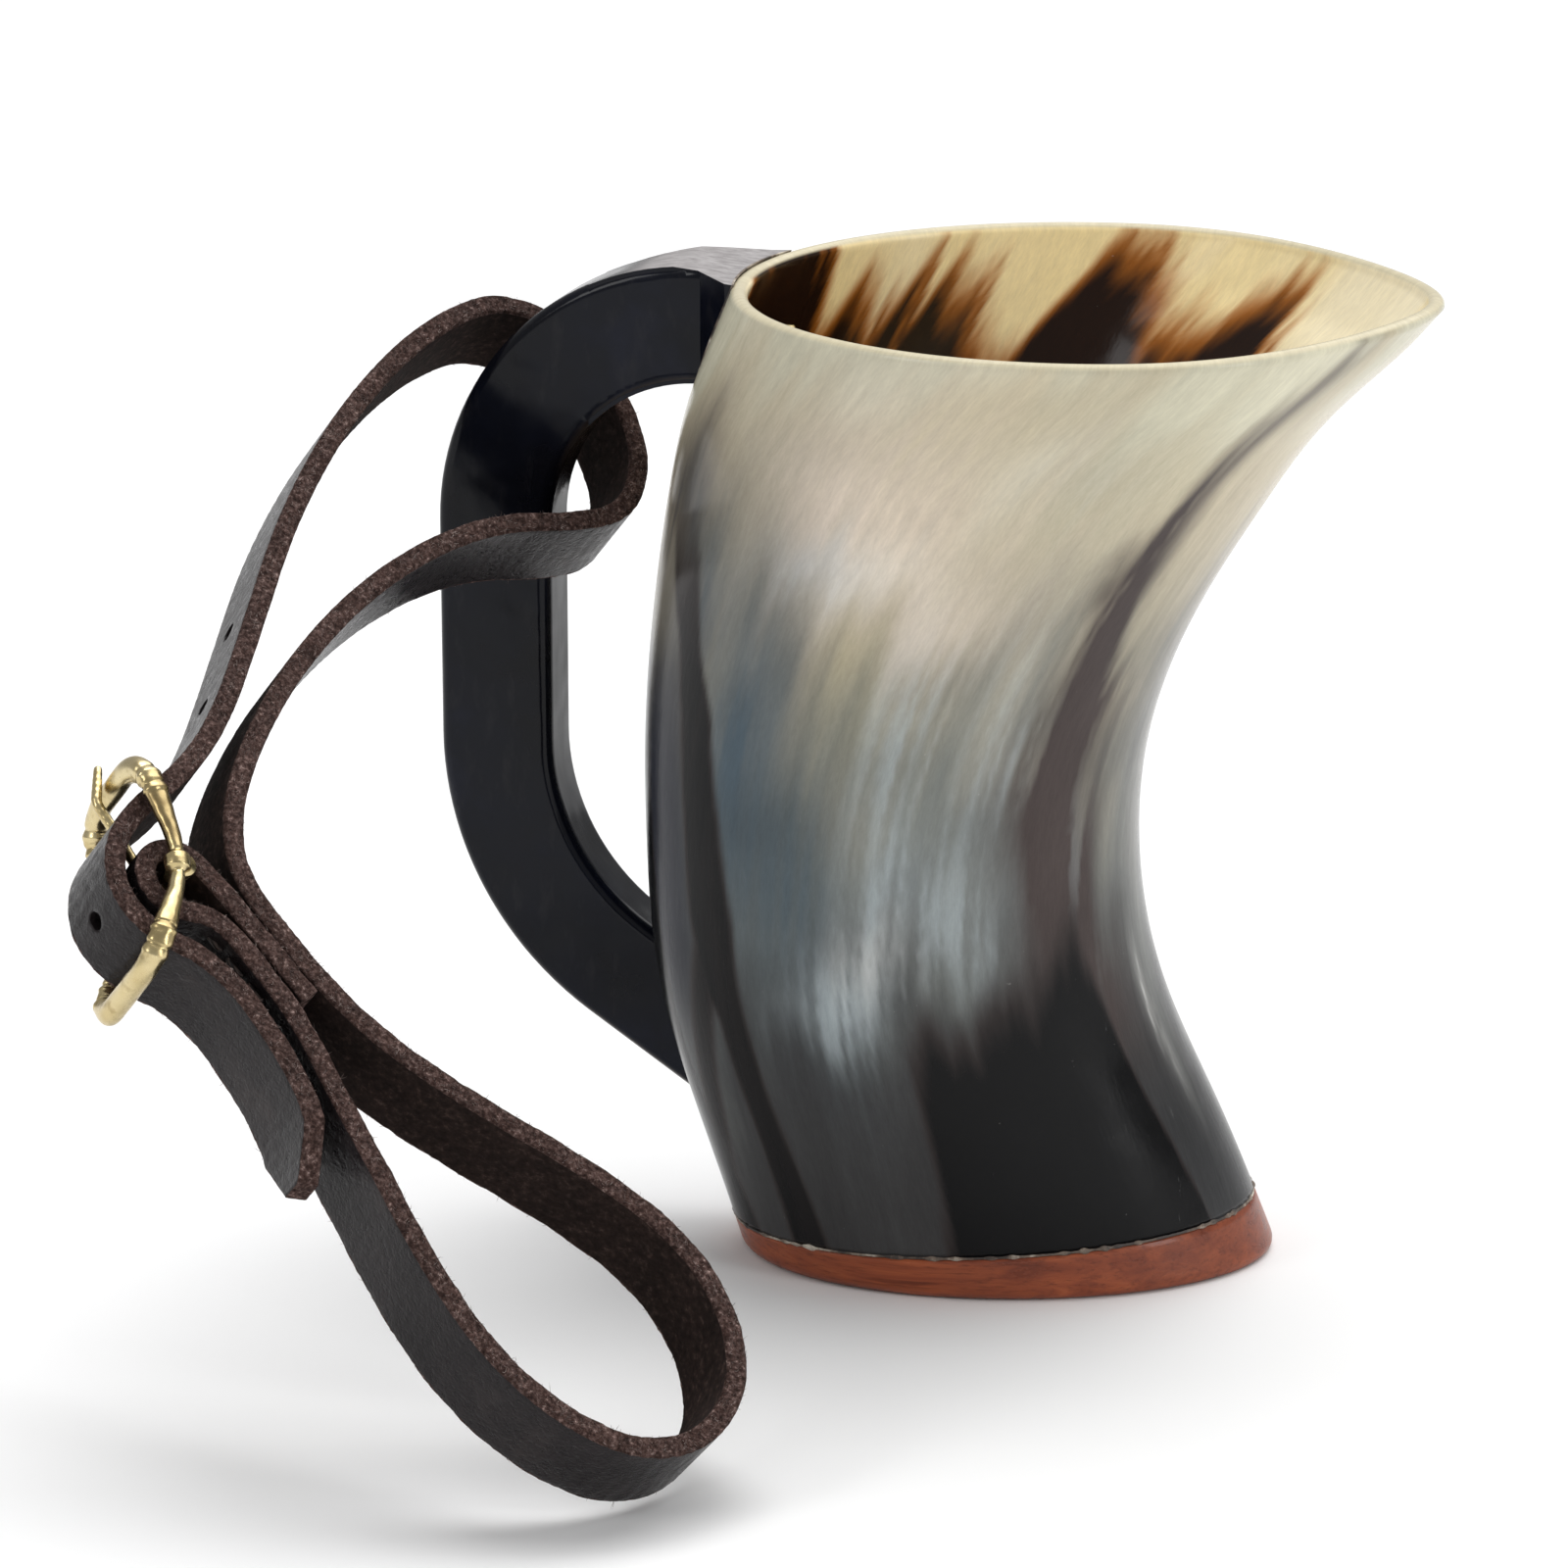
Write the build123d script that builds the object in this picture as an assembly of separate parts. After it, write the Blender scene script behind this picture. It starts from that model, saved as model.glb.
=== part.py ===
from build123d import *
import os
from math import atan2, cos, degrees, pi, radians, sin, tan

# Horn tankard: an oval horn cup on a wooden foot, a C-shaped horn handle and a buckled leather belt strap.
# Millimetres, +Z up, origin at the centre of the foot's underside, handle towards -X.

# horn cup
cup_height = 143.0
rim_turn = 12.0            # the spout points this many degrees towards +Y from +X
foot_turn = 17.0           # the foot's long axis
wall_at_foot = 4.6
wall_at_rim = 2.5
lip_radius = 0.8
seam_height = 6.9          # the horn starts here, on a slightly sloping seam
seam_slope = 2.6           # degrees, the wooden foot is thicker under the spout
glue_thickness = 0.3
foot_edge_radius = 1.8
spigot_top = 14.0
seal_thickness = 1.2
fit_gap = 0.15

# height, shift towards the spout, half length, half depth
cup_profile = [
    (0, 2.4, 38.9, 24.3),
    (8, -0.4, 38.6, 24.8),
    (22, -5.6, 38.0, 25.3),
    (40, -12.0, 36.6, 26.2),
    (60, -15.0, 35.5, 27.6),
    (80, -14.4, 36.2, 29.8),
    (98, -10.4, 38.8, 33.2),
    (114, -4.6, 42.4, 37.2),
    (128, 2.2, 46.0, 41.4),
    (137, 8.6, 48.9, 43.8),
    (143, 12.4, 50.3, 45.2),
    (149, 16.6, 51.6, 46.4),
]
spout_starts = 70.0        # above this height the spout end of the oval turns pointed
spout_point = 0.34

# handle
slab_width = 17.0
slab_depth = 10.0
slab_edge_radius = 1.7
bow_x = -43.0              # centre of the upper, circular bow
bow_z = 104.0
bow_radius = 40.2
foot_bow_radius = 49.0
foot_bow_z = 72.0
foot_bow_angle = 57.0
# the flared saddle against the rim, seen from above, from its near side round to its far side
saddle_outline = [
    (-60.0, -4.6),
    (-43.5, -4.6),
    (-38.0, -9.5),
    (-24.0, -9.5),
    (-24.0, 19.0),
    (-30.5, 18.0),
    (-38.0, 13.2),
    (-44.0, 10.8),
    (-50.0, 7.6),
    (-56.0, 4.6),
    (-60.0, 4.6),
]
sanded_slope = 5.0         # the handle's top is sanded down towards the rim at this angle
sanded_from = -36.0
pin_radius = 1.1
top_pin_height = 134.0
foot_pin_height = 32.0

# strap
strap_width = 14.0
strap_thickness = 3.0
strap_origin = (-72.4, -0.3, 117.9)
strap_across = (0.774, 0.526, -0.352)
strap_face = (0.590, -0.397, 0.703)      # along the strap's width, towards its near edge
strap_plane = Plane(origin=strap_origin, x_dir=strap_across, z_dir=strap_face)
bar_place = (-50.6, -97.3)
first_hole = 48.7          # from the strap's tip; the buckle's tongue is in the second hole
hole_spacing = 14.0
hole_count = 5
hole_radius = 1.3
tip_cut_angle = 40.0       # the tip is trimmed to a point by this much on each side
tip_cut_offset = 9.4
slot_reach = 6.8           # the tongue slot in the fold ends this far from the bar
slot_length = 5.6

# buckle
bar_radius = 1.6
rail_radius = 1.55
rail_offset = 9.6
frame_top = (-57.6, -81.5)
frame_bottom = (-53.6, -112.4)
frame_corner = 4.2
frame_arch = 16.0
running_gap = 0.05
tongue_radius = 0.75
tongue_slot = 3.2
tongue_points = [(-52.0, -95.3), (-56.6, -88.9), (-60.0, -84.6), (-60.1, -78.6)]
tongue_bend = 2.5
tongue_hole_gap = 1.0      # between the tongue and the hole it passes through
collar_radius = 2.1
collar_length = 1.6

# sewing: waxed thread in two rows of three stitches
stitch_rows = (-4.2, 4.2)
stitch_count = 3
stitch_start = (-42.6, -98.7)
stitch_first = 1.9
stitch_pitch = 4.4
stitch_length = 2.8
thread_radius = 0.4
layers_middle = -70.65     # half the sum of across and up anywhere on the middle layer

os.makedirs("parts", exist_ok=True)


def oval(height, shift, half_length, half_depth):
    """One level outline of the cup: an ellipse that turns pointed at the spout end near the rim."""
    turn = radians(foot_turn + (rim_turn - foot_turn) * height / cup_height)
    point = spout_point * max(0.0, (height - spout_starts) / (cup_height - spout_starts)) ** 1.5
    corners = []
    for step in range(24):
        angle = 2 * pi * step / 24
        along = shift + half_length * cos(angle)
        across = half_depth * sin(angle) * (1 - point * max(0.0, cos(angle)) ** 3)
        corners.append((along * cos(turn) - across * sin(turn),
                        along * sin(turn) + across * cos(turn), height))
    return Face(Wire([Spline(*corners, periodic=True)]))


def cup_solid(growth=0.0):
    """The whole outer shape of cup and foot, grown sideways by the given distance."""
    sections = [oval(h, s, a + growth, b + growth) for h, s, a, b in cup_profile]
    return loft(sections)


def wall_at(height):
    return wall_at_foot + (wall_at_rim - wall_at_foot) * min(1.0, height / cup_height)


def bore_solid(growth=0.0):
    """The cup's inner shape, through the foot and past the rim."""
    sections = []
    for height, shift, half_length, half_depth in cup_profile:
        inset = wall_at(height) - growth
        sections.append(oval(height, shift, half_length - inset, half_depth - inset))
    return loft(sections)


def below(height, slope=0.0):
    """Everything under a plane, which may slope up towards the spout."""
    block = Pos(0, 0, -cup_height) * Box(3 * cup_height, 3 * cup_height, 2 * cup_height)
    return Pos(0, 0, height) * Rot(0, 0, foot_turn) * Rot(0, -slope, 0) * block


outer = cup_solid()
bore = bore_solid()
under_seam = below(seam_height, seam_slope)
under_horn = below(seam_height + glue_thickness, seam_slope)


def make_horn():
    horn = (outer & below(cup_height)) - under_horn - bore
    lip = [e for e in horn.edges() if e.bounding_box().min.Z > cup_height - 0.05]
    return fillet(lip, lip_radius)


def make_foot():
    """The wooden foot with the spigot that stands inside the horn."""
    foot = outer & under_seam
    sole = [e for e in foot.edges() if e.bounding_box().max.Z < 0.05]
    foot = fillet(sole, foot_edge_radius)
    spigot = bore_solid(-fit_gap) & below(spigot_top) - below(seam_height - 4)
    return foot + spigot


def make_glue_line():
    ring = (outer & under_horn) - under_seam
    return ring - bore_solid(-fit_gap)


def make_seal():
    """Sealing resin poured over the plug inside the cup."""
    return (bore & below(spigot_top + seal_thickness)) - below(spigot_top)


def handle_outline():
    """The C of the handle in the XZ plane, running on into the cup at both ends."""
    inner_radius = bow_radius - slab_width
    left = bow_x - bow_radius
    foot_inner = foot_bow_radius - slab_width
    foot_x = left + foot_bow_radius
    turn = radians(foot_bow_angle)
    run = 24.0
    line_x, line_z = run * sin(turn), -run * cos(turn)

    def on_arc(centre_x, centre_z, radius, angle):
        return (centre_x + radius * cos(angle), 0, centre_z + radius * sin(angle))

    half = pi + turn / 2
    outer_end = on_arc(foot_x, foot_bow_z, foot_bow_radius, pi + turn)
    inner_end = on_arc(foot_x, foot_bow_z, foot_inner, pi + turn)
    outer_tip = (outer_end[0] + line_x, 0, outer_end[2] + line_z)
    inner_tip = (inner_end[0] + line_x, 0, inner_end[2] + line_z)
    top = (bow_x, 0, bow_z + bow_radius)
    top_in = (-15, 0, bow_z + bow_radius)
    under_in = (-15, 0, bow_z + inner_radius)
    under = (bow_x, 0, bow_z + inner_radius)
    side_top = (left, 0, bow_z)
    side_low = (left, 0, foot_bow_z)
    inner_top = (left + slab_width, 0, bow_z)
    inner_low = (left + slab_width, 0, foot_bow_z)
    corner = 3 * pi / 4
    edges = [
        Line(top_in, top),
        ThreePointArc(top, on_arc(bow_x, bow_z, bow_radius, corner), side_top),
        Line(side_top, side_low),
        ThreePointArc(side_low, on_arc(foot_x, foot_bow_z, foot_bow_radius, half), outer_end),
        Line(outer_end, outer_tip),
        Line(outer_tip, inner_tip),
        Line(inner_tip, inner_end),
        ThreePointArc(inner_end, on_arc(foot_x, foot_bow_z, foot_inner, half), inner_low),
        Line(inner_low, inner_top),
        ThreePointArc(inner_top, on_arc(bow_x, bow_z, inner_radius, corner), under),
        Line(under, under_in),
        Line(under_in, top_in),
    ]
    return Face(Wire(edges))


def make_handle_blank():
    """Handle before it is scribed to the cup: the rounded slab and its flared saddle at the rim."""
    outline = handle_outline()
    slab = extrude(outline, slab_depth / 2, dir=(0, 1, 0), both=True)
    long_edges = [e for e in slab.edges() if abs(abs(e.center().Y) - slab_depth / 2) < 0.01
                  and e.bounding_box().min.X < -16]
    slab = fillet(long_edges, slab_edge_radius)
    top_view = make_face(Polyline(*[(x, y, bow_z + 6) for x, y in saddle_outline], close=True))
    saddle = extrude(top_view, bow_radius, dir=(0, 0, 1))
    saddle &= extrude(outline, 30, dir=(0, 1, 0), both=True)
    waste = Pos(0, 0, bow_radius / 2) * Box(2 * bow_radius, 4 * slab_width, bow_radius)
    waste = Pos(sanded_from, 0, cup_height) * Rot(0, sanded_slope, 0) * waste
    return slab + saddle - waste


def pin(x_inside, x_outside, height, across):
    middle = (x_inside + x_outside) / 2
    rod = Pos(middle, across, height) * Rot(0, 90, 0) * Cylinder(pin_radius, x_inside - x_outside)
    return chamfer(rod.edges(), 0.25)


def strap_route():
    """Centre line of the one strip, across and up in the strap's own plane, from tab to tip."""
    tab = [(-30.6, -110.6), (-46.0, -95.2)]
    bar_fold = [(-50.4, -92.7), (-54.3, -94.2), (-55.4, -98.0), (-53.2, -101.6), (-49.0, -102.6)]
    inner_layer = [(-44.8, -102.0), (-41.4, -104.4), (-32.0, -114.2)]
    belt_loop = [(-26.5, -123.8), (-20.3, -133.4), (-12.6, -146.3), (-3.8, -157.3), (6.8, -164.5),
                 (18.8, -167.4), (28.6, -163.0), (33.6, -153.0), (31.4, -141.8), (23.7, -132.6),
                 (11.0, -126.3), (-5.0, -121.0), (-18.0, -115.6), (-27.8, -109.0)]
    outer_layer = [(-36.9, -100.0), (-41.6, -94.4), (-43.1, -87.0)]
    near_arm = [(-42.2, -78.4), (-39.2, -68.2), (-34.4, -56.8), (-26.0, -43.0), (-15.5, -31.2),
                (-4.5, -23.2)]
    round_handle = [(6.6, -19.6), (14.6, -15.2), (17.0, -6.2), (14.8, 3.0), (8.5, 11.2),
                    (0.6, 16.2), (-7.0, 15.8)]
    upper_arm = [(-14.4, 9.8), (-22.0, 0.3), (-30.4, -15.0), (-37.2, -33.5), (-41.2, -52.0),
                 (-45.3, -70.0), (-50.0, -80.0)]
    round_bar = [(-56.2, -87.6), (-59.6, -94.6), (-58.8, -101.8), (-53.6, -107.0), (-46.8, -108.2)]
    tail = [(-41.2, -111.6), (-36.0, -117.4), (-31.0, -124.6), (-28.6, -130.4), (-27.8, -136.6)]
    return (tab + bar_fold + inner_layer + belt_loop + outer_layer + near_arm + round_handle
            + upper_arm + round_bar + tail)


def rounded_line(points, offset=0.0):
    """The route as straight runs joined by tangent arcs, shifted sideways to its left."""
    places = [Vector(x, y) for x, y in points]
    ways = [(b - a).normalized() for a, b in zip(places, places[1:])]
    lefts = [Vector(-way.Y, way.X) for way in ways]
    shifted = [places[0] + lefts[0] * offset]
    radii = []
    for k in range(1, len(places) - 1):
        lean = lefts[k - 1] + lefts[k]
        shifted.append(places[k] + lean * (offset / (1 + lefts[k - 1].dot(lefts[k]))))
        shorter = min((places[k] - places[k - 1]).length, (places[k + 1] - places[k]).length)
        turn = radians(ways[k - 1].get_signed_angle(ways[k], Vector(0, 0, 1)))
        radius = 0.45 * shorter / abs(tan(turn / 2))
        radii.append(radius - offset if turn > 0 else radius + offset)
    shifted.append(places[-1] + lefts[-1] * offset)
    return FilletPolyline(*shifted, radius=radii)


route = rounded_line(strap_route())


def band_outline():
    """The strip seen along its width: the route thickened to both sides."""
    left = rounded_line(strap_route(), strap_thickness / 2)
    right = rounded_line(strap_route(), -strap_thickness / 2)
    ends = [Line(left @ 0, right @ 0), Line(left @ 1, right @ 1)]
    return Face(Wire(left.edges() + right.edges() + ends))


def hole_drill(from_tip, radius):
    """A round drill through the strip at a distance from its tip."""
    where = 1 - from_tip / route.length
    here = route.position_at(where)
    way = route.tangent_at(where)
    turn = degrees(atan2(way.X, -way.Y))
    drill = Rot(0, 90, 0) * Cylinder(radius, 2.2 * strap_thickness)
    return Pos(here.X, here.Y, 0) * Rot(0, 0, turn) * drill


def tongue_path_solid(radius):
    """The tongue's bent wire, from the bar out past the frame's top end."""
    first, second, third, last = [(x, y, 0) for x, y in tongue_points]
    path = FilletPolyline(first, second, third, last, radius=tongue_bend)
    return sweep(Plane(origin=path @ 0, z_dir=path % 0) * Circle(radius), path=path)


def make_stitches():
    """Waxed thread through the three sewn layers, in two rows."""
    staples = Part()
    reach = 1.5 * strap_thickness + thread_radius + running_gap
    diagonal = cos(pi / 4)
    for row in stitch_rows:
        for k in range(stitch_count):
            start = stitch_first + stitch_pitch * k
            ends = []
            for along in (start, start + stitch_length):
                x = stitch_start[0] + along * diagonal
                y = stitch_start[1] - along * diagonal
                shift = layers_middle - (x + y) / 2
                ends.append((x + shift, y + shift))
            corners = []
            for side in (-1, 1):
                for x, y in ends[::side]:
                    corners.append((x + side * reach * diagonal, y + side * reach * diagonal, row))
            loop = FilletPolyline(*corners, radius=1.5 * thread_radius, close=True)
            section = Plane(origin=loop @ 0, z_dir=loop % 0) * Circle(thread_radius)
            staples = staples + sweep(section, path=loop)
    return staples


def make_strap():
    strip = extrude(band_outline(), strap_width / 2, dir=(0, 0, 1), both=True)
    bar_x, bar_y = bar_place
    bar = Pos(bar_x, bar_y, 0)
    fold_slot = bar * Cylinder(slot_reach, tongue_slot)
    slot_window = Box(slot_length, 2 * slot_reach, tongue_slot)
    fold_slot &= Pos(bar_x - slot_length / 2 - 0.6, bar_y, 0) * slot_window
    eye_room = bar * Cylinder(bar_radius + 2 * tongue_radius + 0.7, tongue_slot)
    strip -= fold_slot + eye_room
    fold = bar * Cylinder(slot_reach - 0.2, strap_width)
    strip -= tongue_path_solid(tongue_radius + tongue_hole_gap) - fold
    for k in range(hole_count):
        if k != 1:
            strip -= hole_drill(first_hole + k * hole_spacing, hole_radius)
    tip = route.position_at(1)
    way = route.tangent_at(1)
    turn = degrees(atan2(way.Y, way.X))
    for side in (-1, 1):
        wedge = Pos(2, 0, side * tip_cut_offset) * Rot(0, side * tip_cut_angle, 0) * Box(16, 8, 10)
        strip -= Pos(tip.X, tip.Y, 0) * Rot(0, 0, turn) * wedge
    return strip


def make_buckle():
    """Cast frame, arched over the strap, with its centre bar and a collar on each rail beside the bar."""
    rail = FilletPolyline((*frame_top, 0), (*frame_top, rail_offset), (*bar_place, rail_offset),
                          (*frame_bottom, rail_offset), (*frame_bottom, 0),
                          radius=[frame_corner, frame_arch, frame_corner])
    section = Plane(origin=rail @ 0, z_dir=rail % 0) * Circle(rail_radius)
    near_rail = sweep(section, path=rail)
    frame = near_rail + mirror(near_rail, about=Plane.XY)
    bar_x, bar_y = bar_place
    frame = frame + Pos(bar_x, bar_y, 0) * Cylinder(bar_radius, 2 * rail_offset)
    for side in (-1, 1):
        collar = Rot(90, 0, 0) * Cylinder(collar_radius, collar_length)
        collar = Pos(bar_x, bar_y, side * rail_offset) * collar
        frame = frame + fillet(collar.edges(), 0.6)
    return frame


def make_tongue():
    bar_x, bar_y = bar_place
    ring_radius = bar_radius + running_gap + tongue_radius
    eye = Pos(bar_x, bar_y, 0) * Torus(ring_radius, tongue_radius)
    wire = tongue_path_solid(tongue_radius)
    wire = wire - Pos(bar_x, bar_y, 0) * Cylinder(bar_radius + running_gap, 10)
    return eye + wire


def place_strap_piece(piece):
    return strap_plane.location * piece


def save(name, shape):
    solids = shape.solids()
    volume = sum(s.volume for s in solids)
    print(f"{name:18s} solids {len(solids):2d}  volume {volume / 1000:8.2f} cm3")
    export_step(shape if len(solids) > 1 else solids[0], f"parts/{name}.step")


def main():
    top_pin = pin(-31.2, -52.0, top_pin_height, 2.0)
    foot_pin = pin(-38.0, -56.0, foot_pin_height, -2.0)
    pins = top_pin + foot_pin
    handle_blank = make_handle_blank()
    scribed = cup_solid(glue_thickness)
    handle = handle_blank - scribed - pins
    beds = (handle_blank & (scribed - outer)) - pins
    upper_bed = beds - below(bow_z)
    lower_bed = beds & below(bow_z)
    save("horn_body", make_horn() - pins)
    save("base_plug", make_foot())
    save("base_glue_line", make_glue_line())
    save("floor_seal", make_seal())
    save("handle_bow", handle)
    save("handle_top_glue", upper_bed)
    save("handle_foot_glue", lower_bed)
    save("handle_top_pin", top_pin)
    save("handle_foot_pin", foot_pin)
    stitches = make_stitches()
    save("strap", place_strap_piece(make_strap() - stitches))
    save("strap_stitches", place_strap_piece(stitches))
    save("buckle_frame", place_strap_piece(make_buckle()))
    save("buckle_tongue", place_strap_piece(make_tongue()))
    print(f"strip length {route.length:.0f} mm")


main()
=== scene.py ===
import bpy, bmesh, math
import numpy as np
from mathutils import Vector, Matrix


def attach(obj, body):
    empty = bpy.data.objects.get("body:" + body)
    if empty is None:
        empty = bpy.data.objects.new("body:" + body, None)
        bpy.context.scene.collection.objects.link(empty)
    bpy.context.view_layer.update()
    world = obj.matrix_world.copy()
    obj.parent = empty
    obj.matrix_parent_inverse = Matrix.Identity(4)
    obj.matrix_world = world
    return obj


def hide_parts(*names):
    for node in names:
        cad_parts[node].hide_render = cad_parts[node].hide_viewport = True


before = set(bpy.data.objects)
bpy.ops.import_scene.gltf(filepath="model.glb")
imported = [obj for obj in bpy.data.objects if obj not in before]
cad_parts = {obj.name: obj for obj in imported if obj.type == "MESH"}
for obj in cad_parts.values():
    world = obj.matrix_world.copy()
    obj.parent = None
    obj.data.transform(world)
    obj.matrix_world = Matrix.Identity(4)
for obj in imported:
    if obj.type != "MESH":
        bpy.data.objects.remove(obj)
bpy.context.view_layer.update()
mm = 0.001
print("frame loaded")


def smoothAll(piece):
    piece.data.polygons.foreach_set("use_smooth", [True] * len(piece.data.polygons))


def makeMesh(name, points, faces, body):
    mesh = bpy.data.meshes.new(name)
    mesh.from_pydata([tuple(p) for p in points], [], [tuple(int(i) for i in f) for f in faces])
    mesh.update()
    piece = bpy.data.objects.new(name, mesh)
    smoothAll(piece)
    bpy.context.scene.collection.objects.link(piece)
    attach(piece, body)
    return piece


def ringFaces(rows, columns, loop=False):
    # quads between neighbouring rings of points; a loop also joins the last ring to the first
    row = np.arange(rows if loop else rows - 1)[:, None] * columns
    nextRow = (row + columns) % (rows * columns)
    col = np.arange(columns)[None, :]
    nextCol = (col + 1) % columns
    return np.stack([row + col, row + nextCol, nextRow + nextCol, nextRow + col], -1).reshape(-1, 4)


def fullCircle(count):
    return np.arange(count) / count * 2 * np.pi


def fillHoles(piece):
    # closes a mesh's open rings and turns its faces outward
    work = bmesh.new()
    work.from_mesh(piece.data)
    openEdges = [e for e in work.edges if e.is_boundary]
    if openEdges:
        bmesh.ops.holes_fill(work, edges=openEdges, sides=0)
    bmesh.ops.recalc_face_normals(work, faces=work.faces)
    work.to_mesh(piece.data)
    work.free()
    smoothAll(piece)


noiseRows = 97                                       # length of the noise table before it repeats


def latticeNoise(u, v, cells, seed):
    # smooth noise; u counts turns round the piece and v counts cells along it
    table = np.random.default_rng(seed).random((cells, noiseRows))
    x = u * cells
    y = np.abs(v)
    x0 = np.floor(x).astype(int)
    y0 = np.floor(y).astype(int)
    fx = x - x0
    fy = y - y0
    fx = fx * fx * (3 - 2 * fx)
    fy = fy * fy * (3 - 2 * fy)
    a = table[x0 % cells, y0 % noiseRows]
    b = table[(x0 + 1) % cells, y0 % noiseRows]
    c = table[x0 % cells, (y0 + 1) % noiseRows]
    d = table[(x0 + 1) % cells, (y0 + 1) % noiseRows]
    return (a * (1 - fx) + b * fx) * (1 - fy) + (c * (1 - fx) + d * fx) * fy


def fibreNoise(u, v, cells, seed):
    # three layers of noise drawn out along v, each finer and half as strong
    total = latticeNoise(u, v, cells, seed)
    total = total + 0.5 * latticeNoise(u, v * 1.7, cells * 2 + 1, seed + 1)
    total = total + 0.25 * latticeNoise(u, v * 2.6, cells * 5 + 2, seed + 2)
    return total / (1 + 0.5 + 0.25)


def smoothStep(low, high, value):
    t = np.clip((value - low) / (high - low), 0, 1)
    return t * t * (3 - 2 * t)


def paint(piece, name, colours):
    layer = piece.data.color_attributes.new(name, "FLOAT_COLOR", "POINT")
    data = np.ones((len(colours), 4), dtype=np.float32)
    data[:, :colours.shape[1]] = colours
    layer.data.foreach_set("color", data.ravel())


def newMaterial(name):
    material = bpy.data.materials.new(name)
    material.use_nodes = True
    nodes = material.node_tree.nodes
    shader = nodes["Principled BSDF"]
    return material, nodes, material.node_tree.links, shader


def addNode(nodes, kind, **settings):
    node = nodes.new(kind)
    for key, value in settings.items():
        if hasattr(node, key):
            setattr(node, key, value)
        else:
            node.inputs[key.replace("_", " ")].default_value = value
    return node


def objectCoordinates(nodes, links, scale=(1, 1, 1), turn=(0, 0, 0)):
    place = nodes.new("ShaderNodeTexCoord")
    mapping = nodes.new("ShaderNodeMapping")
    mapping.inputs["Scale"].default_value = scale
    mapping.inputs["Rotation"].default_value = turn
    links.new(place.outputs["Object"], mapping.inputs["Vector"])
    return mapping.outputs["Vector"]


def noiseAt(nodes, links, vector, scale, detail=4.0, roughness=0.55, distortion=0.0):
    noise = addNode(nodes, "ShaderNodeTexNoise", Scale=scale, Detail=detail, Roughness=roughness,
                    Distortion=distortion)
    links.new(vector, noise.inputs["Vector"])
    return noise.outputs["Fac"]


def rampOf(nodes, links, value, stops):
    ramp = nodes.new("ShaderNodeValToRGB")
    while len(ramp.color_ramp.elements) < len(stops):
        ramp.color_ramp.elements.new(0.5)
    for element, (place, colour) in zip(ramp.color_ramp.elements, stops):
        element.position = place
        element.color = (*colour, 1)
    links.new(value, ramp.inputs["Fac"])
    return ramp.outputs["Color"]


def mixColour(nodes, links, factor, first, second, mode="MIX"):
    mix = nodes.new("ShaderNodeMix")
    mix.data_type = "RGBA"
    mix.blend_type = mode
    for socket, value in ((mix.inputs[0], factor), (mix.inputs[6], first), (mix.inputs[7], second)):
        if isinstance(value, (int, float)):
            socket.default_value = value
        elif isinstance(value, tuple):
            socket.default_value = (*value, 1)
        else:
            links.new(value, socket)
    return mix.outputs[2]


def remap(nodes, links, value, low, high, newLow, newHigh):
    node = nodes.new("ShaderNodeMapRange")
    for key, number in (("From Min", low), ("From Max", high), ("To Min", newLow), ("To Max", newHigh)):
        node.inputs[key].default_value = number
    links.new(value, node.inputs["Value"])
    return node.outputs["Result"]


def bumpFrom(nodes, links, shader, *layers):
    # layers are (height, strength, distance in metres), stacked in order
    previous = None
    for height, strength, distance in layers:
        bump = nodes.new("ShaderNodeBump")
        bump.inputs["Strength"].default_value = strength
        bump.inputs["Distance"].default_value = distance
        links.new(height, bump.inputs["Height"])
        if previous:
            links.new(previous, bump.inputs["Normal"])
        previous = bump.outputs["Normal"]
    links.new(previous, shader.inputs["Normal"])


def setFinish(shader, **values):
    for key, value in values.items():
        shader.inputs[key.replace("_", " ")].default_value = value


cameraSettings = {
    "place": (0.24454, -0.90501, 0.36114),
    "azimuth": 17.0,
    "lookDown": 17.25,
    "lens": 157.0,
}
cameraData = bpy.data.cameras.new("camera")
cameraData.lens = cameraSettings["lens"]
cameraData.clip_start = 0.02
camera = bpy.data.objects.new("camera", cameraData)
camera.location = cameraSettings["place"]
lookAngle = math.radians(90 - cameraSettings["lookDown"])
camera.rotation_euler = (lookAngle, 0, math.radians(cameraSettings["azimuth"]))
bpy.context.scene.collection.objects.link(camera)
bpy.context.scene.camera = camera

hornCup = {
    "height": 143.0, "footTurn": 17.0, "rimTurn": 12.0,
    "wallAtFoot": 4.6, "wallAtRim": 2.5, "lipRadius": 1.1,
    "seamHeight": 7.2, "seamSlope": 2.6,
    "floorHeight": 13.7,                             # the bore ends inside the resin
    "spoutStarts": 70.0, "spoutPoint": 0.34,
    "rippleDepth": 0.25, "rippleStarts": (95, 118), "rippleEnds": (132, 140),
    # height, shift towards the spout, half length, half depth
    "profile": [
        (0, 2.4, 38.9, 24.3), (8, -0.4, 38.6, 24.8), (22, -5.6, 38.0, 25.3), (40, -12.0, 36.6, 26.2),
        (60, -15.0, 35.5, 27.6), (80, -14.4, 36.2, 29.8), (98, -10.4, 38.8, 33.2),
        (114, -4.6, 42.4, 37.2), (128, 2.2, 46.0, 41.4), (137, 8.6, 48.9, 43.8),
        (143, 12.4, 50.3, 45.2), (149, 16.6, 51.6, 46.4)],
    "columns": 384, "rowStep": 0.75, "lipSteps": 8,
}


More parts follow.
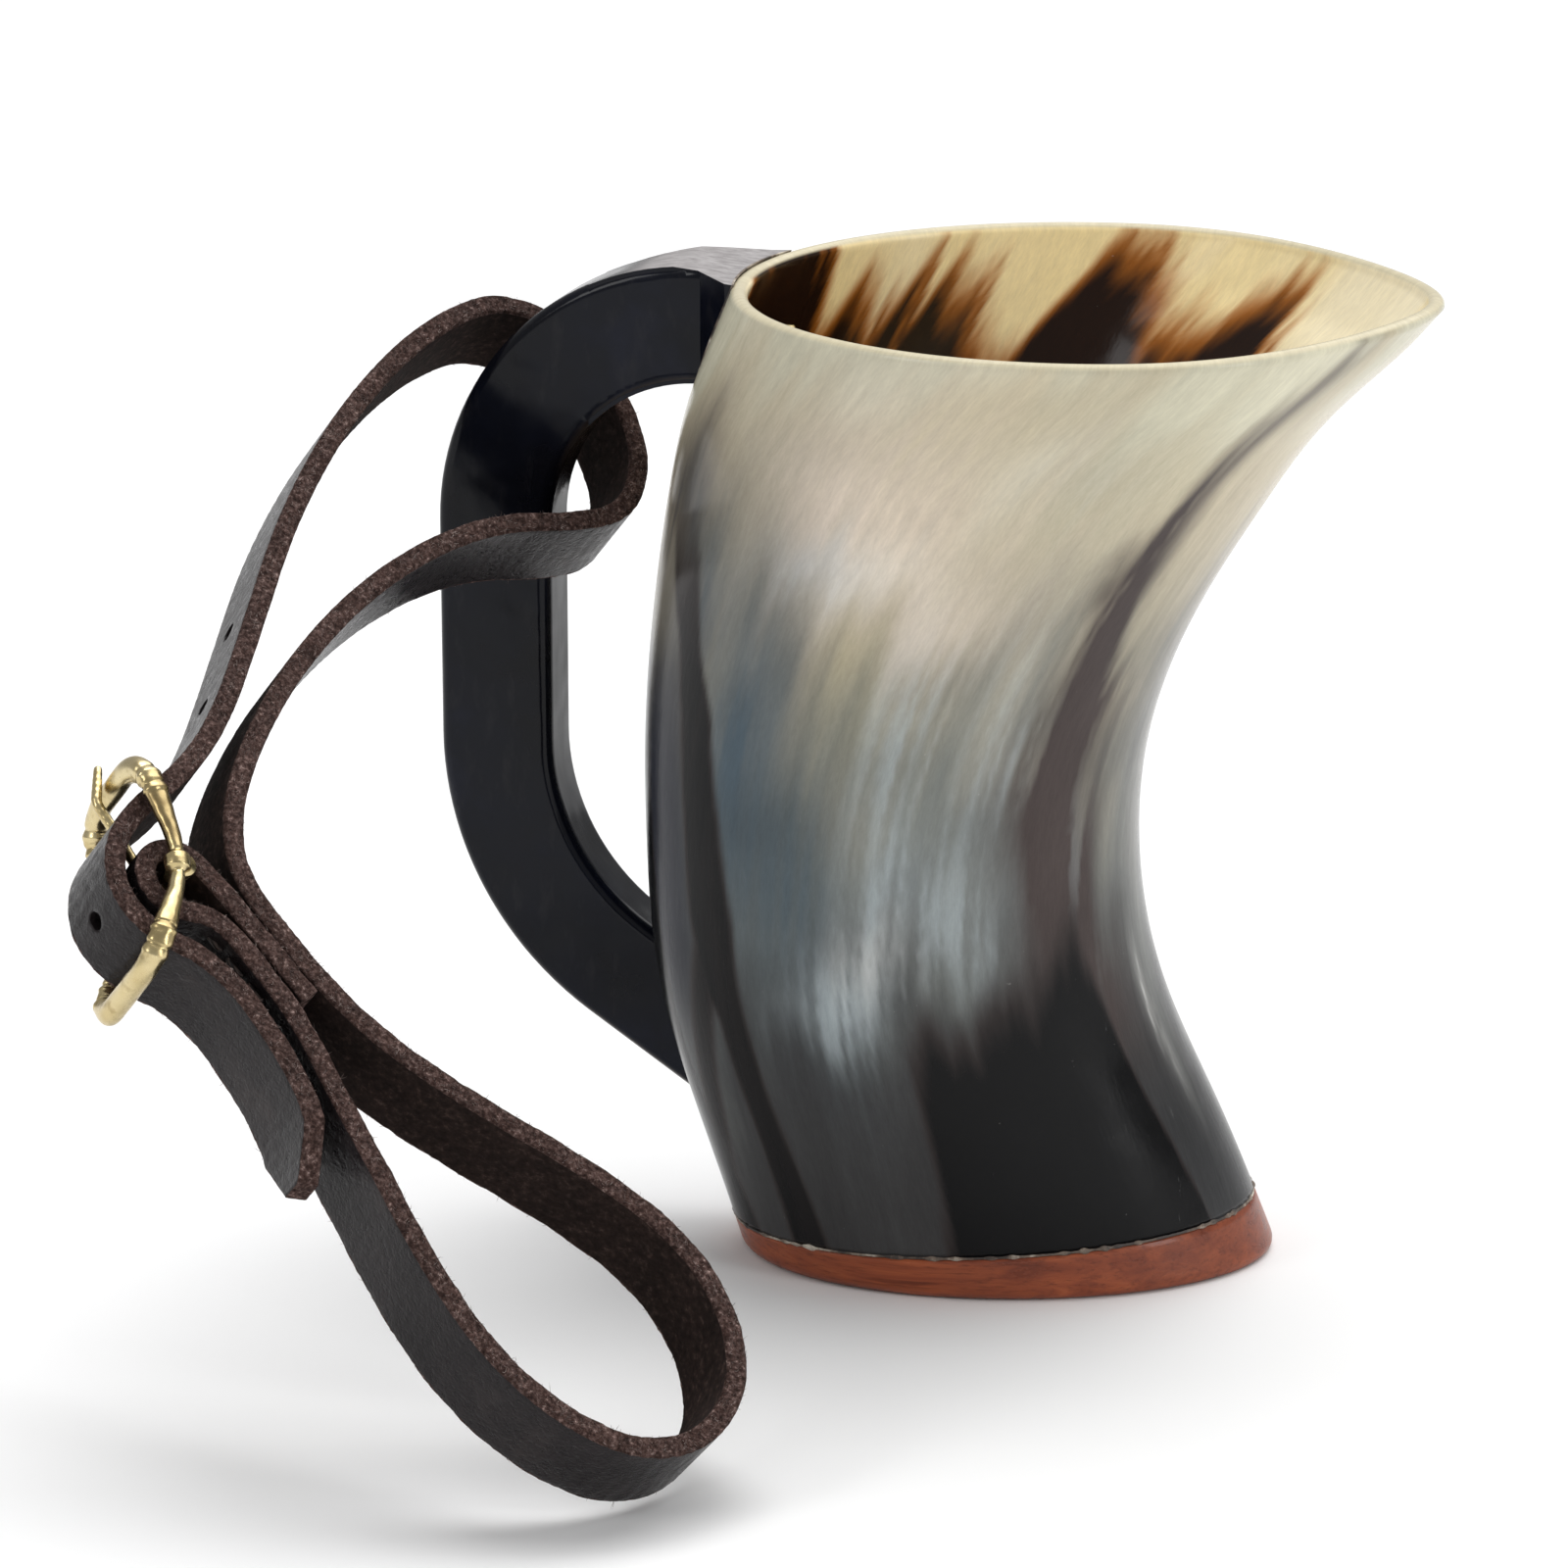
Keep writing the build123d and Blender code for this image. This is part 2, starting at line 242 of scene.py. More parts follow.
def naturalSpline(x, y, at):
    # cubic curve through the points, read at the given places
    n = len(x)
    h = np.diff(x)
    system = np.eye(n)
    right = np.zeros(n)
    for i in range(1, n - 1):
        system[i, i - 1:i + 2] = (h[i - 1], 2 * (h[i - 1] + h[i]), h[i])
        right[i] = 6 * ((y[i + 1] - y[i]) / h[i] - (y[i] - y[i - 1]) / h[i - 1])
    bend = np.linalg.solve(system, right)
    i = np.clip(np.searchsorted(x, at) - 1, 0, n - 2)
    a = (x[i + 1] - at) / h[i]
    b = (at - x[i]) / h[i]
    return (a * y[i] + b * y[i + 1]
            + ((a ** 3 - a) * bend[i] + (b ** 3 - b) * bend[i + 1]) * h[i] ** 2 / 6)


def cupPoints(heights, angles, inset=0.0):
    # points of the cup's skin in millimetres; heights and angles may be numbers or arrays
    rows = np.array(hornCup["profile"], float)
    shift = naturalSpline(rows[:, 0], rows[:, 1], heights)
    halfLength = naturalSpline(rows[:, 0], rows[:, 2], heights) - inset
    halfDepth = naturalSpline(rows[:, 0], rows[:, 3], heights) - inset
    turn = np.radians(hornCup["footTurn"]
                      + (hornCup["rimTurn"] - hornCup["footTurn"]) * heights / hornCup["height"])
    rise = np.clip((heights - hornCup["spoutStarts"]) / (hornCup["height"] - hornCup["spoutStarts"]), 0, None)
    point = hornCup["spoutPoint"] * rise ** 1.5
    along = shift + halfLength * np.cos(angles)
    across = halfDepth * np.sin(angles) * (1 - point * np.clip(np.cos(angles), 0, None) ** 3)
    x = along * np.cos(turn) - across * np.sin(turn)
    y = along * np.sin(turn) + across * np.cos(turn)
    return np.stack([x, y, heights + 0 * angles], -1)


def seamAt(angles, lift=0.0):
    # height of the sloping seam at each angle, found by stepping towards the skin
    turn = math.radians(hornCup["footTurn"])
    low = np.full_like(angles, hornCup["seamHeight"])
    for _ in range(4):
        skin = cupPoints(low, angles)
        along = skin[..., 0] * math.cos(turn) + skin[..., 1] * math.sin(turn)
        low = hornCup["seamHeight"] + lift + along * math.tan(math.radians(hornCup["seamSlope"]))
    return low


def buildHorn():
    angles = fullCircle(hornCup["columns"])
    top, floor = hornCup["height"], hornCup["floorHeight"]
    wall, lip = hornCup["wallAtRim"], hornCup["lipRadius"]
    count = int(top / hornCup["rowStep"])
    low = seamAt(angles)
    rows = []
    for k in range(count + 1):                       # outside, foot to lip
        rows.append(cupPoints(low + (top - lip - low) * k / count, angles))
    lipFoot = np.full(len(angles), top - lip)
    for k in range(1, hornCup["lipSteps"]):          # rounded lip
        a = math.pi * k / hornCup["lipSteps"]
        inset = wall / 2 * (1 - math.cos(a))
        rows.append(cupPoints(lipFoot, angles, inset) + np.array([0, 0, lip * math.sin(a)]))
    insideStarts = len(rows) - hornCup["lipSteps"] // 2 + 1
    forward = np.clip(np.cos(angles), 0, 1)          # 1 at the spout
    for k in range(count + 1):                       # inside, lip to floor
        t = k / count
        heights = np.full(len(angles), (top - lip) * (1 - t) + floor * t)
        thick = hornCup["wallAtFoot"] + (wall - hornCup["wallAtFoot"]) * heights[0] / top
        ripple = hornCup["rippleDepth"] * np.sin(heights * 0.9 + 3 * np.cos(angles)) * forward ** 2
        ripple = ripple * smoothStep(*hornCup["rippleStarts"], heights)
        ripple = ripple * (1 - smoothStep(*hornCup["rippleEnds"], heights))
        rows.append(cupPoints(heights, angles, thick + ripple))
    points = np.concatenate(rows)
    faces = ringFaces(len(rows), len(angles), loop=True)
    piece = makeMesh("hornCup", points * mm, faces, "mug")
    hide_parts("horn_body")
    inside = np.zeros(len(points))
    inside[insideStarts * len(angles):] = 1
    return piece, points, np.tile(angles, len(rows)), inside


def wrapDegrees(value):
    return (value + 180) % 360 - 180


def spot(theta, height, centre, middle, wide, tall, power=2.0):
    # soft patch on the horn's skin; centre and wide in degrees, middle and tall in millimetres
    away = wrapDegrees(theta - centre)
    return np.exp(-np.abs(away / wide) ** power - np.abs((height - middle) / tall) ** power)


hornColours = {
    # the two pearly colours serve both as the horn's own pearly tone and as painted highlights
    "pinkPale": (0.74, 0.63, 0.53), "pearlAndHighlight": (0.76, 0.76, 0.74), "bluePearlAndHighlight": (0.37, 0.42, 0.44),
    "greenGrey": (0.30, 0.29, 0.21), "blueGrey": (0.070, 0.100, 0.125), "midGrey": (0.26, 0.255, 0.25),
    "darkGrey": (0.035, 0.036, 0.038), "plum": (0.060, 0.046, 0.044), "black": (0.003, 0.003, 0.0035),
    "gold": (0.50, 0.43, 0.25), "navy": (0.014, 0.016, 0.028), "lip": (0.62, 0.56, 0.40),
    "insideIvory": (0.94, 0.78, 0.44), "insidePale": (0.98, 0.90, 0.68), "amber": (0.42, 0.14, 0.020),
    "insideDark": (0.016, 0.007, 0.004),
}
hornMarks = {
    # base colour of the skin by height
    "baseHeights": (8, 25, 40, 55, 70, 85, 100, 115, 130, 143),
    "baseRed": (0.042, 0.052, 0.078, 0.128, 0.175, 0.250, 0.400, 0.560, 0.570, 0.590),
    "baseGreen": (0.041, 0.052, 0.081, 0.136, 0.182, 0.238, 0.360, 0.492, 0.512, 0.565),
    "baseBlue": (0.042, 0.053, 0.079, 0.130, 0.163, 0.192, 0.272, 0.362, 0.370, 0.435),
    "fibreLean": 0.0006,                             # turns per millimetre that the fibres wind round the cup
    # colour, centre in degrees, middle, half width in degrees, half height, amount, how much of it is fibrous
    "patches": (
        # the pearly patch at -113 degrees, 109.5 mm is a painted highlight
        ("pinkPale", -112, 120, 30, 17, 0.85, 0.2), ("pearlAndHighlight", -113, 109.5, 15, 5, 0.9, 0.35),
        ("pearlAndHighlight", -84, 128, 18, 6, 0.35, 0.6), ("pinkPale", -92, 104, 20, 8, 0.7, 0.3),
        ("greenGrey", -100, 92, 12, 12, 0.6, 0.1),
        ("greenGrey", -68, 124, 20, 18, 0.45, 0.1), ("greenGrey", -138, 116, 9, 16, 0.4, 0.1),
        ("gold", -97, 131, 13, 9, 0.6, 0.5), ("gold", -104, 101, 8, 8, 0.55, 0.3),
        ("blueGrey", -126, 84, 14, 30, 1.0, 0.1), ("blueGrey", -111, 68, 12, 24, 0.75, 0.25),
        ("navy", -158, 116, 14, 15, 0.92, 0.15), ("blueGrey", -145, 104, 11, 14, 0.75, 0.2),
        ("bluePearlAndHighlight", -88, 84, 10, 20, 0.55, 0.8), ("bluePearlAndHighlight", -68, 80, 10, 22, 0.6, 0.6),
        # the pearly patches from -114 degrees, 42 mm to -88 degrees, 60 mm make a painted highlight band
        ("bluePearlAndHighlight", -114, 42, 9, 5, 0.8, 0.7), ("bluePearlAndHighlight", -104, 47, 9, 6, 0.9, 0.7),
        ("pearlAndHighlight", -95, 53, 8, 6, 0.5, 0.8), ("bluePearlAndHighlight", -88, 60, 10, 9, 0.9, 0.7),
        ("bluePearlAndHighlight", -70, 58, 9, 10, 0.6, 0.7), ("midGrey", -16, 80, 15, 30, 0.7, 0.2),
        ("pearlAndHighlight", -25, 38, 4, 9, 0.8, 0.7), ("bluePearlAndHighlight", -46, 65, 3.5, 11, 0.7, 0.8),
        ("bluePearlAndHighlight", 55, 86, 20, 30, 0.7, 0.8), ("pearlAndHighlight", 100, 104, 22, 22, 0.7, 0.6),
        ("blueGrey", 80, 62, 18, 26, 0.6, 0.4), ("greenGrey", 122, 88, 22, 24, 0.5, 0.2),
        ("pearlAndHighlight", 128, 52, 12, 14, 0.8, 0.8), ("midGrey", 25, 60, 14, 30, 0.5, 0.3)),
    # soft plum band: its centre and half width by height, its strength by height, and one knot in it
    "bandHeights": (30, 55, 66, 76, 88, 100, 110, 121, 131, 141),
    "bandCentres": (-46, -47, -49, -50, -47, -51, -51, -46, -43, -37),
    "bandWidths": (14, 14, 15, 15, 13, 5, 7, 4, 5, 4),
    "strengthHeights": (60, 90, 120, 143),
    "strengths": (1.2, 1.15, 0.9, 0.55),
    "bandKnot": (-55, 107, 4, 5),
    # top of the black patch at the foot, by angle
    "blackAngles": (-180, -168, -163, -158, -150, -102, -98, -93, -88, -82, -78, -72, -66, -58, -48,
                    -43, -40, -35, 28, 36, 44, 52, 60, 70, 84, 92, 100, 112, 124, 150, 164, 180),
    "blackTops": (92, 88, 60, 24, 2, 4, 14, 38, 43, 39, 36, 42, 47, 51, 53,
                  50, 38, 4, 4, 30, 66, 34, 8, 22, 46, 30, 52, 20, 4, 10, 58, 92),
    # black streak beside the handle: centre and half width by height, and its narrow branch below
    "streakHeights": (8, 20, 40, 55, 70, 85, 95, 105, 120),
    "streakCentres": (-134, -134, -134, -136, -138, -141, -146, -152, -160),
    "streakWidths": (5, 4, 4, 7, 7, 6, 5, 6, 8),
    "branchHeights": (8, 20, 30, 40, 52),
    "branchCentres": (-162, -155, -150, -144, -138),
    "branchWidth": 4.5,
    "navyShade": (-157, 68, 16, 34, 4),
    # tops of the dark flames inside, by angle
    "flameAngles": (0, 20, 38, 44, 52, 60, 66, 72, 78, 84, 87, 90, 95, 100, 105, 109, 112, 115, 118, 121,
                    126, 131, 134, 138, 141, 145, 150, 170, 180, 200, 225, 250, 290, 320, 360),
    "flameTops": (88, 104, 124, 137, 133, 128, 130, 135, 140, 142, 137, 124, 122, 127, 132, 133, 138, 126,
                  137, 127, 131, 134, 128, 131, 139, 146, 150, 147, 132, 112, 120, 98, 112, 92, 88),
}


def blend(base, colour, amount):
    return base + (np.array(hornColours[colour]) - base) * np.clip(amount, 0, 1)[:, None]


def outerSkin(theta, height, slow, fine, finest, cloud):
    marks = hornMarks
    silk = smoothStep(0.42, 0.66, 0.5 * fine + 0.5 * finest)
    # places shifted by the noise, so that every mark frays along the fibres
    th = theta + (slow - 0.5) * 10 + (fine - 0.5) * 7
    z = height + (slow - 0.5) * 9 + (fine - 0.5) * 12 + (finest - 0.5) * 5
    tone = z + (fine - 0.5) * 18 + (cloud - 0.5) * 26
    base = [np.interp(tone, marks["baseHeights"], marks[k]) for k in ("baseRed", "baseGreen", "baseBlue")]
    colour = np.stack(base, -1)
    for name, centre, middle, wide, tall, amount, fibrous in marks["patches"]:
        strength = spot(th, z, centre, middle, wide, tall) * amount
        colour = blend(colour, name, strength * (1 - fibrous + fibrous * silk * 1.2))
    # plum band
    away = wrapDegrees(theta + (fine - 0.5) * 5 - np.interp(z, marks["bandHeights"], marks["bandCentres"]))
    band = np.exp(-np.abs(away / np.interp(z, marks["bandHeights"], marks["bandWidths"])) ** 2.2)
    band = band * smoothStep(20, 40, z) * (1 - smoothStep(138, 147, z)) * (1.15 - 0.35 * silk)
    band = np.maximum(band, spot(theta, height, *marks["bandKnot"]) * 0.8)
    colour = blend(colour, "plum", band * np.interp(height, marks["strengthHeights"], marks["strengths"]))
    low = smoothStep(34, 12, z) * spot(theta, 0 * z, -22, 0, 30, 1)
    colour = blend(colour, "darkGrey", low * 0.8)
    # black patch at the foot
    ragged = (fine - 0.5) * 14 + (finest - 0.5) * 4
    top = np.interp(theta + (slow - 0.5) * 4, marks["blackAngles"], marks["blackTops"])
    dark = smoothStep(-7, 6, top + ragged - height) * smoothStep(2, 12, top)
    # black streak and its branch
    wander = theta + (slow - 0.5) * 4
    away = wander + (fine - 0.5) * 3 - np.interp(height, marks["streakHeights"], marks["streakCentres"])
    streak = np.exp(-np.abs(away / np.interp(height, marks["streakHeights"], marks["streakWidths"])) ** 3)
    streak = smoothStep(0.15, 0.7, streak) * (1 - smoothStep(92, 118, z)) * (0.9 + 0.1 * silk)
    away = wander - np.interp(height, marks["branchHeights"], marks["branchCentres"])
    branch = 0.9 * np.exp(-np.abs(away / marks["branchWidth"]) ** 4) * (1 - smoothStep(50, 60, height))
    colour = blend(colour, "navy", spot(theta, height, *marks["navyShade"]) * 0.95)
    dark = np.maximum(dark, np.maximum(streak, branch))
    colour = blend(colour, "plum", np.clip(dark * 1.5, 0, 1))
    colour = blend(colour, "black", dark)
    return colour * (0.93 + 0.14 * finest)[:, None] * (0.84 + 0.32 * cloud)[:, None]


def innerSkin(theta, height, slow, fine, finest):
    lick = (fine - 0.5) * 9 + (finest - 0.5) * 9
    tops = np.interp(theta % 360 + (finest - 0.5) * 3, hornMarks["flameAngles"], hornMarks["flameTops"])
    colour = np.tile(np.array(hornColours["insideIvory"]), (len(height), 1))
    colour = blend(colour, "insidePale", smoothStep(0.35, 0.7, slow) * 0.8)
    colour = blend(colour, "amber", smoothStep(-8, 1, tops + lick - height))
    colour = blend(colour, "insideDark", smoothStep(-3, 6, tops + lick - height))
    return colour * (0.965 + 0.07 * finest)[:, None]


def colourHorn(piece, points, angles, inside):
    height = points[:, 2]
    lean = height * hornMarks["fibreLean"]
    turns = (angles / (2 * np.pi) - lean) % 1.0
    theta = wrapDegrees(np.degrees(angles))
    slow = fibreNoise(turns, height / 60, 9, 3)
    fine = fibreNoise(turns, height / 34, 57, 8)
    finest = fibreNoise(turns, height / 20, 170, 15)
    cloud = latticeNoise(turns, height / 17, 13, 51) * 0.6 + latticeNoise(turns, height / 8, 29, 52) * 0.4
    outer = outerSkin(theta, height, slow, fine, finest, cloud)
    inner = innerSkin(theta, height, slow, fine, finest)
    mixed = outer * (1 - inside[:, None]) + inner * inside[:, None]
    edgeLine = smoothStep(hornCup["height"] - 0.7, hornCup["height"] - 0.25, height)[:, None]
    mixed = mixed * (1 - edgeLine) + np.array(hornColours["lip"]) * edgeLine
    paint(piece, "hornColour", np.clip(mixed, 0, 1))
    # the cup unrolled along its fibres, for the material's fine noise
    space = np.stack([np.cos(angles - lean * 6.28), np.sin(angles - lean * 6.28), height * 0.006], -1)
    attribute = piece.data.attributes.new("fibreSpace", "FLOAT_VECTOR", "POINT")
    attribute.data.foreach_set("vector", space.astype(np.float32).ravel())


def hornMaterial():
    material, nodes, links, shader = newMaterial("polishedHorn")
    colour = addNode(nodes, "ShaderNodeAttribute", attribute_name="hornColour")
    fibre = addNode(nodes, "ShaderNodeAttribute", attribute_name="fibreSpace")
    threads = noiseAt(nodes, links, fibre.outputs["Vector"], 46, 5, 0.62)
    hairs = noiseAt(nodes, links, fibre.outputs["Vector"], 150, 3, 0.6)
    shade = rampOf(nodes, links, threads, [(0.3, (0.92, 0.92, 0.915)), (0.7, (1.06, 1.06, 1.05))])
    tinted = mixColour(nodes, links, 1.0, colour.outputs["Color"], shade, "MULTIPLY")
    grain = rampOf(nodes, links, hairs, [(0.38, (0.965, 0.96, 0.955)), (0.62, (1.025, 1.025, 1.025))])
    tinted = mixColour(nodes, links, 1.0, tinted, grain, "MULTIPLY")
    place = objectCoordinates(nodes, links)
    specks = noiseAt(nodes, links, place, 900, 2, 0.5)
    speckMask = remap(nodes, links, specks, 0.77, 0.82, 0.0, 0.12)
    tinted = mixColour(nodes, links, speckMask, tinted, (0.7, 0.69, 0.65))
    scuffPlace = objectCoordinates(nodes, links, (1, 1, 0.25), (0.1, 0.7, 0.2))
    scuffs = noiseAt(nodes, links, scuffPlace, 420, 5, 0.75)
    scuffMask = remap(nodes, links, scuffs, 0.68, 0.75, 0.0, 0.10)
    tinted = mixColour(nodes, links, scuffMask, tinted, (0.45, 0.45, 0.46))
    links.new(tinted, shader.inputs["Base Color"])
    cloud = noiseAt(nodes, links, place, 60, 4, 0.6)
    links.new(remap(nodes, links, cloud, 0.3, 0.75, 0.12, 0.26), shader.inputs["Roughness"])
    scratchPlace = objectCoordinates(nodes, links, (1, 1, 0.12), (0.2, 0.5, 0.3))
    scratch = noiseAt(nodes, links, scratchPlace, 1600, 2, 0.5)
    slowWave = noiseAt(nodes, links, place, 55, 2, 0.4)
    bumpFrom(nodes, links, shader, (slowWave, 0.35, 0.0012), (threads, 0.10, 0.0004),
             (scratch, 0.035, 0.0001))
    setFinish(shader, IOR=1.5, Specular_IOR_Level=0.13, Coat_Weight=0.05, Coat_Roughness=0.04)
    return material


cup, cupSkin, cupAngles, cupInside = buildHorn()
colourHorn(cup, cupSkin, cupAngles, cupInside)
cup.data.materials.append(hornMaterial())
print("horn cup made,", len(cup.data.vertices), "points")

woodFoot = {
    "halfDepth": 24.2, "edgeRadius": 1.8, "edgeSteps": 7,
    "seamBevel": 0.35, "belowSeam": 0.3, "topInset": 5.0, "columns": 320,
}
glueLine = {"columns": 900, "sides": 8, "belowSeam": 0.15, "proud": 0.12, "lift": 0.20, "blobShare": 0.07}


def buildFoot():
    angles = fullCircle(woodFoot["columns"])
    radius, bevel = woodFoot["edgeRadius"], woodFoot["seamBevel"]
    top = seamAt(angles, -woodFoot["belowSeam"])
    zero = np.zeros(len(angles))
    rows = []
    for share in (0.98, 0.7, 0.4, 0.2):              # flat underside, from the middle outward
        rows.append(cupPoints(zero, angles, woodFoot["halfDepth"] * share) * np.array([1, 1, 0]))
    for k in range(woodFoot["edgeSteps"]):           # rounded bottom edge
        a = math.pi / 2 * k / (woodFoot["edgeSteps"] - 1)
        heights = zero + radius * (1 - math.cos(a))
        rows.append(cupPoints(heights, angles, radius * (1 - math.sin(a))))
    for k in range(1, 9):                            # side
        rows.append(cupPoints(radius + (top - bevel - radius) * k / 8, angles))
    rows.append(cupPoints(top, angles, bevel))
    rows.append(cupPoints(top - 0.02, angles, woodFoot["topInset"]))
    points = np.concatenate(rows)
    piece = makeMesh("woodFoot", points * mm, ringFaces(len(rows), len(angles)), "mug")
    fillHoles(piece)
    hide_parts("base_plug")
    return piece


def woodMaterial():
    material, nodes, links, shader = newMaterial("oiledRedWood")
    turn = math.radians(-hornCup["footTurn"])
    grainPlace = objectCoordinates(nodes, links, (0.10, 1.0, 1.6), (0, 0, turn))
    bands = noiseAt(nodes, links, grainPlace, 260, 6, 0.65, 0.6)
    porePlace = objectCoordinates(nodes, links, (0.05, 1, 1.3), (0, 0, turn))
    pores = noiseAt(nodes, links, porePlace, 1500, 3, 0.6)
    colour = rampOf(nodes, links, bands, [(0.25, (0.110, 0.022, 0.009)), (0.45, (0.235, 0.050, 0.018)),
                                          (0.62, (0.340, 0.080, 0.027)), (0.85, (0.46, 0.140, 0.055))])
    dots = rampOf(nodes, links, pores, [(0.30, (0.45, 0.40, 0.38)), (0.48, (1, 1, 1))])
    colour = mixColour(nodes, links, 0.75, colour, dots, "MULTIPLY")
    place = objectCoordinates(nodes, links)
    stain = noiseAt(nodes, links, place, 45, 3, 0.6)
    stainMask = remap(nodes, links, stain, 0.4, 0.7, 0.0, 0.45)
    colour = mixColour(nodes, links, stainMask, colour, (0.13, 0.035, 0.02))
    links.new(colour, shader.inputs["Base Color"])
    links.new(remap(nodes, links, bands, 0.3, 0.7, 0.24, 0.42), shader.inputs["Roughness"])
    bumpFrom(nodes, links, shader, (bands, 0.18, 0.0004), (pores, 0.25, 0.00015))
    setFinish(shader, Coat_Weight=0.15, Coat_Roughness=0.10, Specular_IOR_Level=0.25)
    return material


def buildGlueLine():
    angles = fullCircle(glueLine["columns"])
    margin = 12                                      # spare values at each end for the smoothing
    wide = len(angles) + 2 * margin
    rng = np.random.default_rng(4)
    wobble = np.convolve(rng.random(wide), np.ones(7) / 7, "same")[margin:-margin] - 0.5
    squeezedOut = (rng.random(wide) > 1 - glueLine["blobShare"]) * 1.0
    blobs = np.convolve(squeezedOut, np.hanning(9), "same")[margin:-margin]
    middle = seamAt(angles, -glueLine["belowSeam"])
    rows = []
    for k in range(glueLine["sides"]):
        a = 2 * math.pi * k / glueLine["sides"]
        lift = (glueLine["lift"] + 0.16 * blobs + 0.22 * np.abs(wobble)) * math.sin(a)
        out = -(glueLine["proud"] + 0.10 * blobs + 0.25 * wobble) * math.cos(a)
        rows.append(cupPoints(middle + lift + 0.15 * wobble, angles, out + 0.05))
    points = np.concatenate(rows)
    piece = makeMesh("glueLine", points * mm, ringFaces(len(rows), len(angles), loop=True), "mug")
    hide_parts("base_glue_line")
    return piece


def glueMaterial():
    material, nodes, links, shader = newMaterial("oldGlue")
    place = objectCoordinates(nodes, links)
    patches = noiseAt(nodes, links, place, 180, 4, 0.7)
    colour = rampOf(nodes, links, patches, [(0.42, (0.035, 0.025, 0.02)), (0.52, (0.16, 0.12, 0.09)),
                                            (0.66, (0.55, 0.50, 0.42))])
    links.new(colour, shader.inputs["Base Color"])
    links.new(remap(nodes, links, patches, 0.3, 0.7, 0.45, 0.8), shader.inputs["Roughness"])
    bumpFrom(nodes, links, shader, (noiseAt(nodes, links, place, 2500, 3), 0.4, 0.0001))
    return material


foot = buildFoot()
foot.data.materials.append(woodMaterial())
glue = buildGlueLine()
glueFinish = glueMaterial()
glue.data.materials.append(glueFinish)
print("foot and glue line made")


def dressNode(node, material):
    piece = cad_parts[node]
    if not piece.material_slots:
        piece.data.materials.append(material)
    for slotHolder in piece.material_slots:
        slotHolder.material = material


def resinMaterial():
    material, nodes, links, shader = newMaterial("sealingResin")
    place = objectCoordinates(nodes, links)
    cloud = noiseAt(nodes, links, place, 70, 5, 0.6, 0.8)
    colour = rampOf(nodes, links, cloud, [(0.3, (0.10, 0.05, 0.02)), (0.55, (0.34, 0.21, 0.09)),
                                          (0.8, (0.55, 0.40, 0.2))])
    links.new(colour, shader.inputs["Base Color"])
    links.new(remap(nodes, links, cloud, 0.3, 0.7, 0.08, 0.25), shader.inputs["Roughness"])
    bumpFrom(nodes, links, shader, (cloud, 0.3, 0.0008))
    setFinish(shader, Coat_Weight=0.6, Coat_Roughness=0.05)
    return material


dressNode("floor_seal", resinMaterial())
for bed in ("handle_top_glue", "handle_foot_glue"):
    dressNode(bed, glueFinish)

# the brown colour below is painted reflected light for the handle's down-facing skin
blackHorn = {"sandedStarts": 141.8, "sandedFull": 143.2, "underReflectedBrown": (0.055, 0.040, 0.030)}


def blackHornMaterial():
    material, nodes, links, shader = newMaterial("blackHorn")
    place = objectCoordinates(nodes, links)
    cloud = noiseAt(nodes, links, place, 38, 4, 0.6)
    fibrePlace = objectCoordinates(nodes, links, (1, 2.5, 0.35), (0, 0.5, 0))
    fibres = noiseAt(nodes, links, fibrePlace, 420, 4, 0.6)
    colour = rampOf(nodes, links, cloud, [(0.30, (0.003, 0.003, 0.004)), (0.55, (0.004, 0.005, 0.010)),
                                          (0.72, (0.009, 0.011, 0.024))])
    fibreMask = remap(nodes, links, fibres, 0.55, 0.8, 0, 0.35)
    colour = mixColour(nodes, links, fibreMask, colour, (0.03, 0.028, 0.03))
    # a sanded, greyish flat on top, and painted brown reflected light where the skin faces down
    geometry = nodes.new("ShaderNodeNewGeometry")
    facing = nodes.new("ShaderNodeSeparateXYZ")
    links.new(geometry.outputs["Normal"], facing.inputs["Vector"])
    height = nodes.new("ShaderNodeSeparateXYZ")
    links.new(place, height.inputs["Vector"])
    onTop = remap(nodes, links, height.outputs["Z"], blackHorn["sandedStarts"] * mm,
                  blackHorn["sandedFull"] * mm, 0, 1)
    upward = remap(nodes, links, facing.outputs["Z"], 0.90, 0.985, 0, 1)
    sanded = nodes.new("ShaderNodeMath")
    sanded.operation = "MULTIPLY"
    links.new(onTop, sanded.inputs[0])
    links.new(upward, sanded.inputs[1])
    chalk = rampOf(nodes, links, fibres, [(0.3, (0.22, 0.205, 0.205)), (0.7, (0.42, 0.40, 0.40))])
    colour = mixColour(nodes, links, sanded.outputs[0], colour, chalk)
    # painted brown reflected light, stronger the more the skin faces down
    underReflectionMask = remap(nodes, links, facing.outputs["Z"], -0.25, -0.8, 0, 0.8)
    colour = mixColour(nodes, links, underReflectionMask, colour, blackHorn["underReflectedBrown"])
    links.new(colour, shader.inputs["Base Color"])
    rough = remap(nodes, links, cloud, 0.3, 0.7, 0.10, 0.22)
    roughMix = nodes.new("ShaderNodeMix")
    links.new(sanded.outputs[0], roughMix.inputs[0])
    links.new(rough, roughMix.inputs[2])
    roughMix.inputs[3].default_value = 0.5
    links.new(roughMix.outputs[0], shader.inputs["Roughness"])
    wave = noiseAt(nodes, links, place, 75, 2, 0.4)
    bumpFrom(nodes, links, shader, (wave, 0.45, 0.0014), (fibres, 0.06, 0.0002))
    setFinish(shader, IOR=1.5, Specular_IOR_Level=0.15, Coat_Weight=0.04, Coat_Roughness=0.03)
    return material


dressNode("handle_bow", blackHornMaterial())
print("handle dressed")

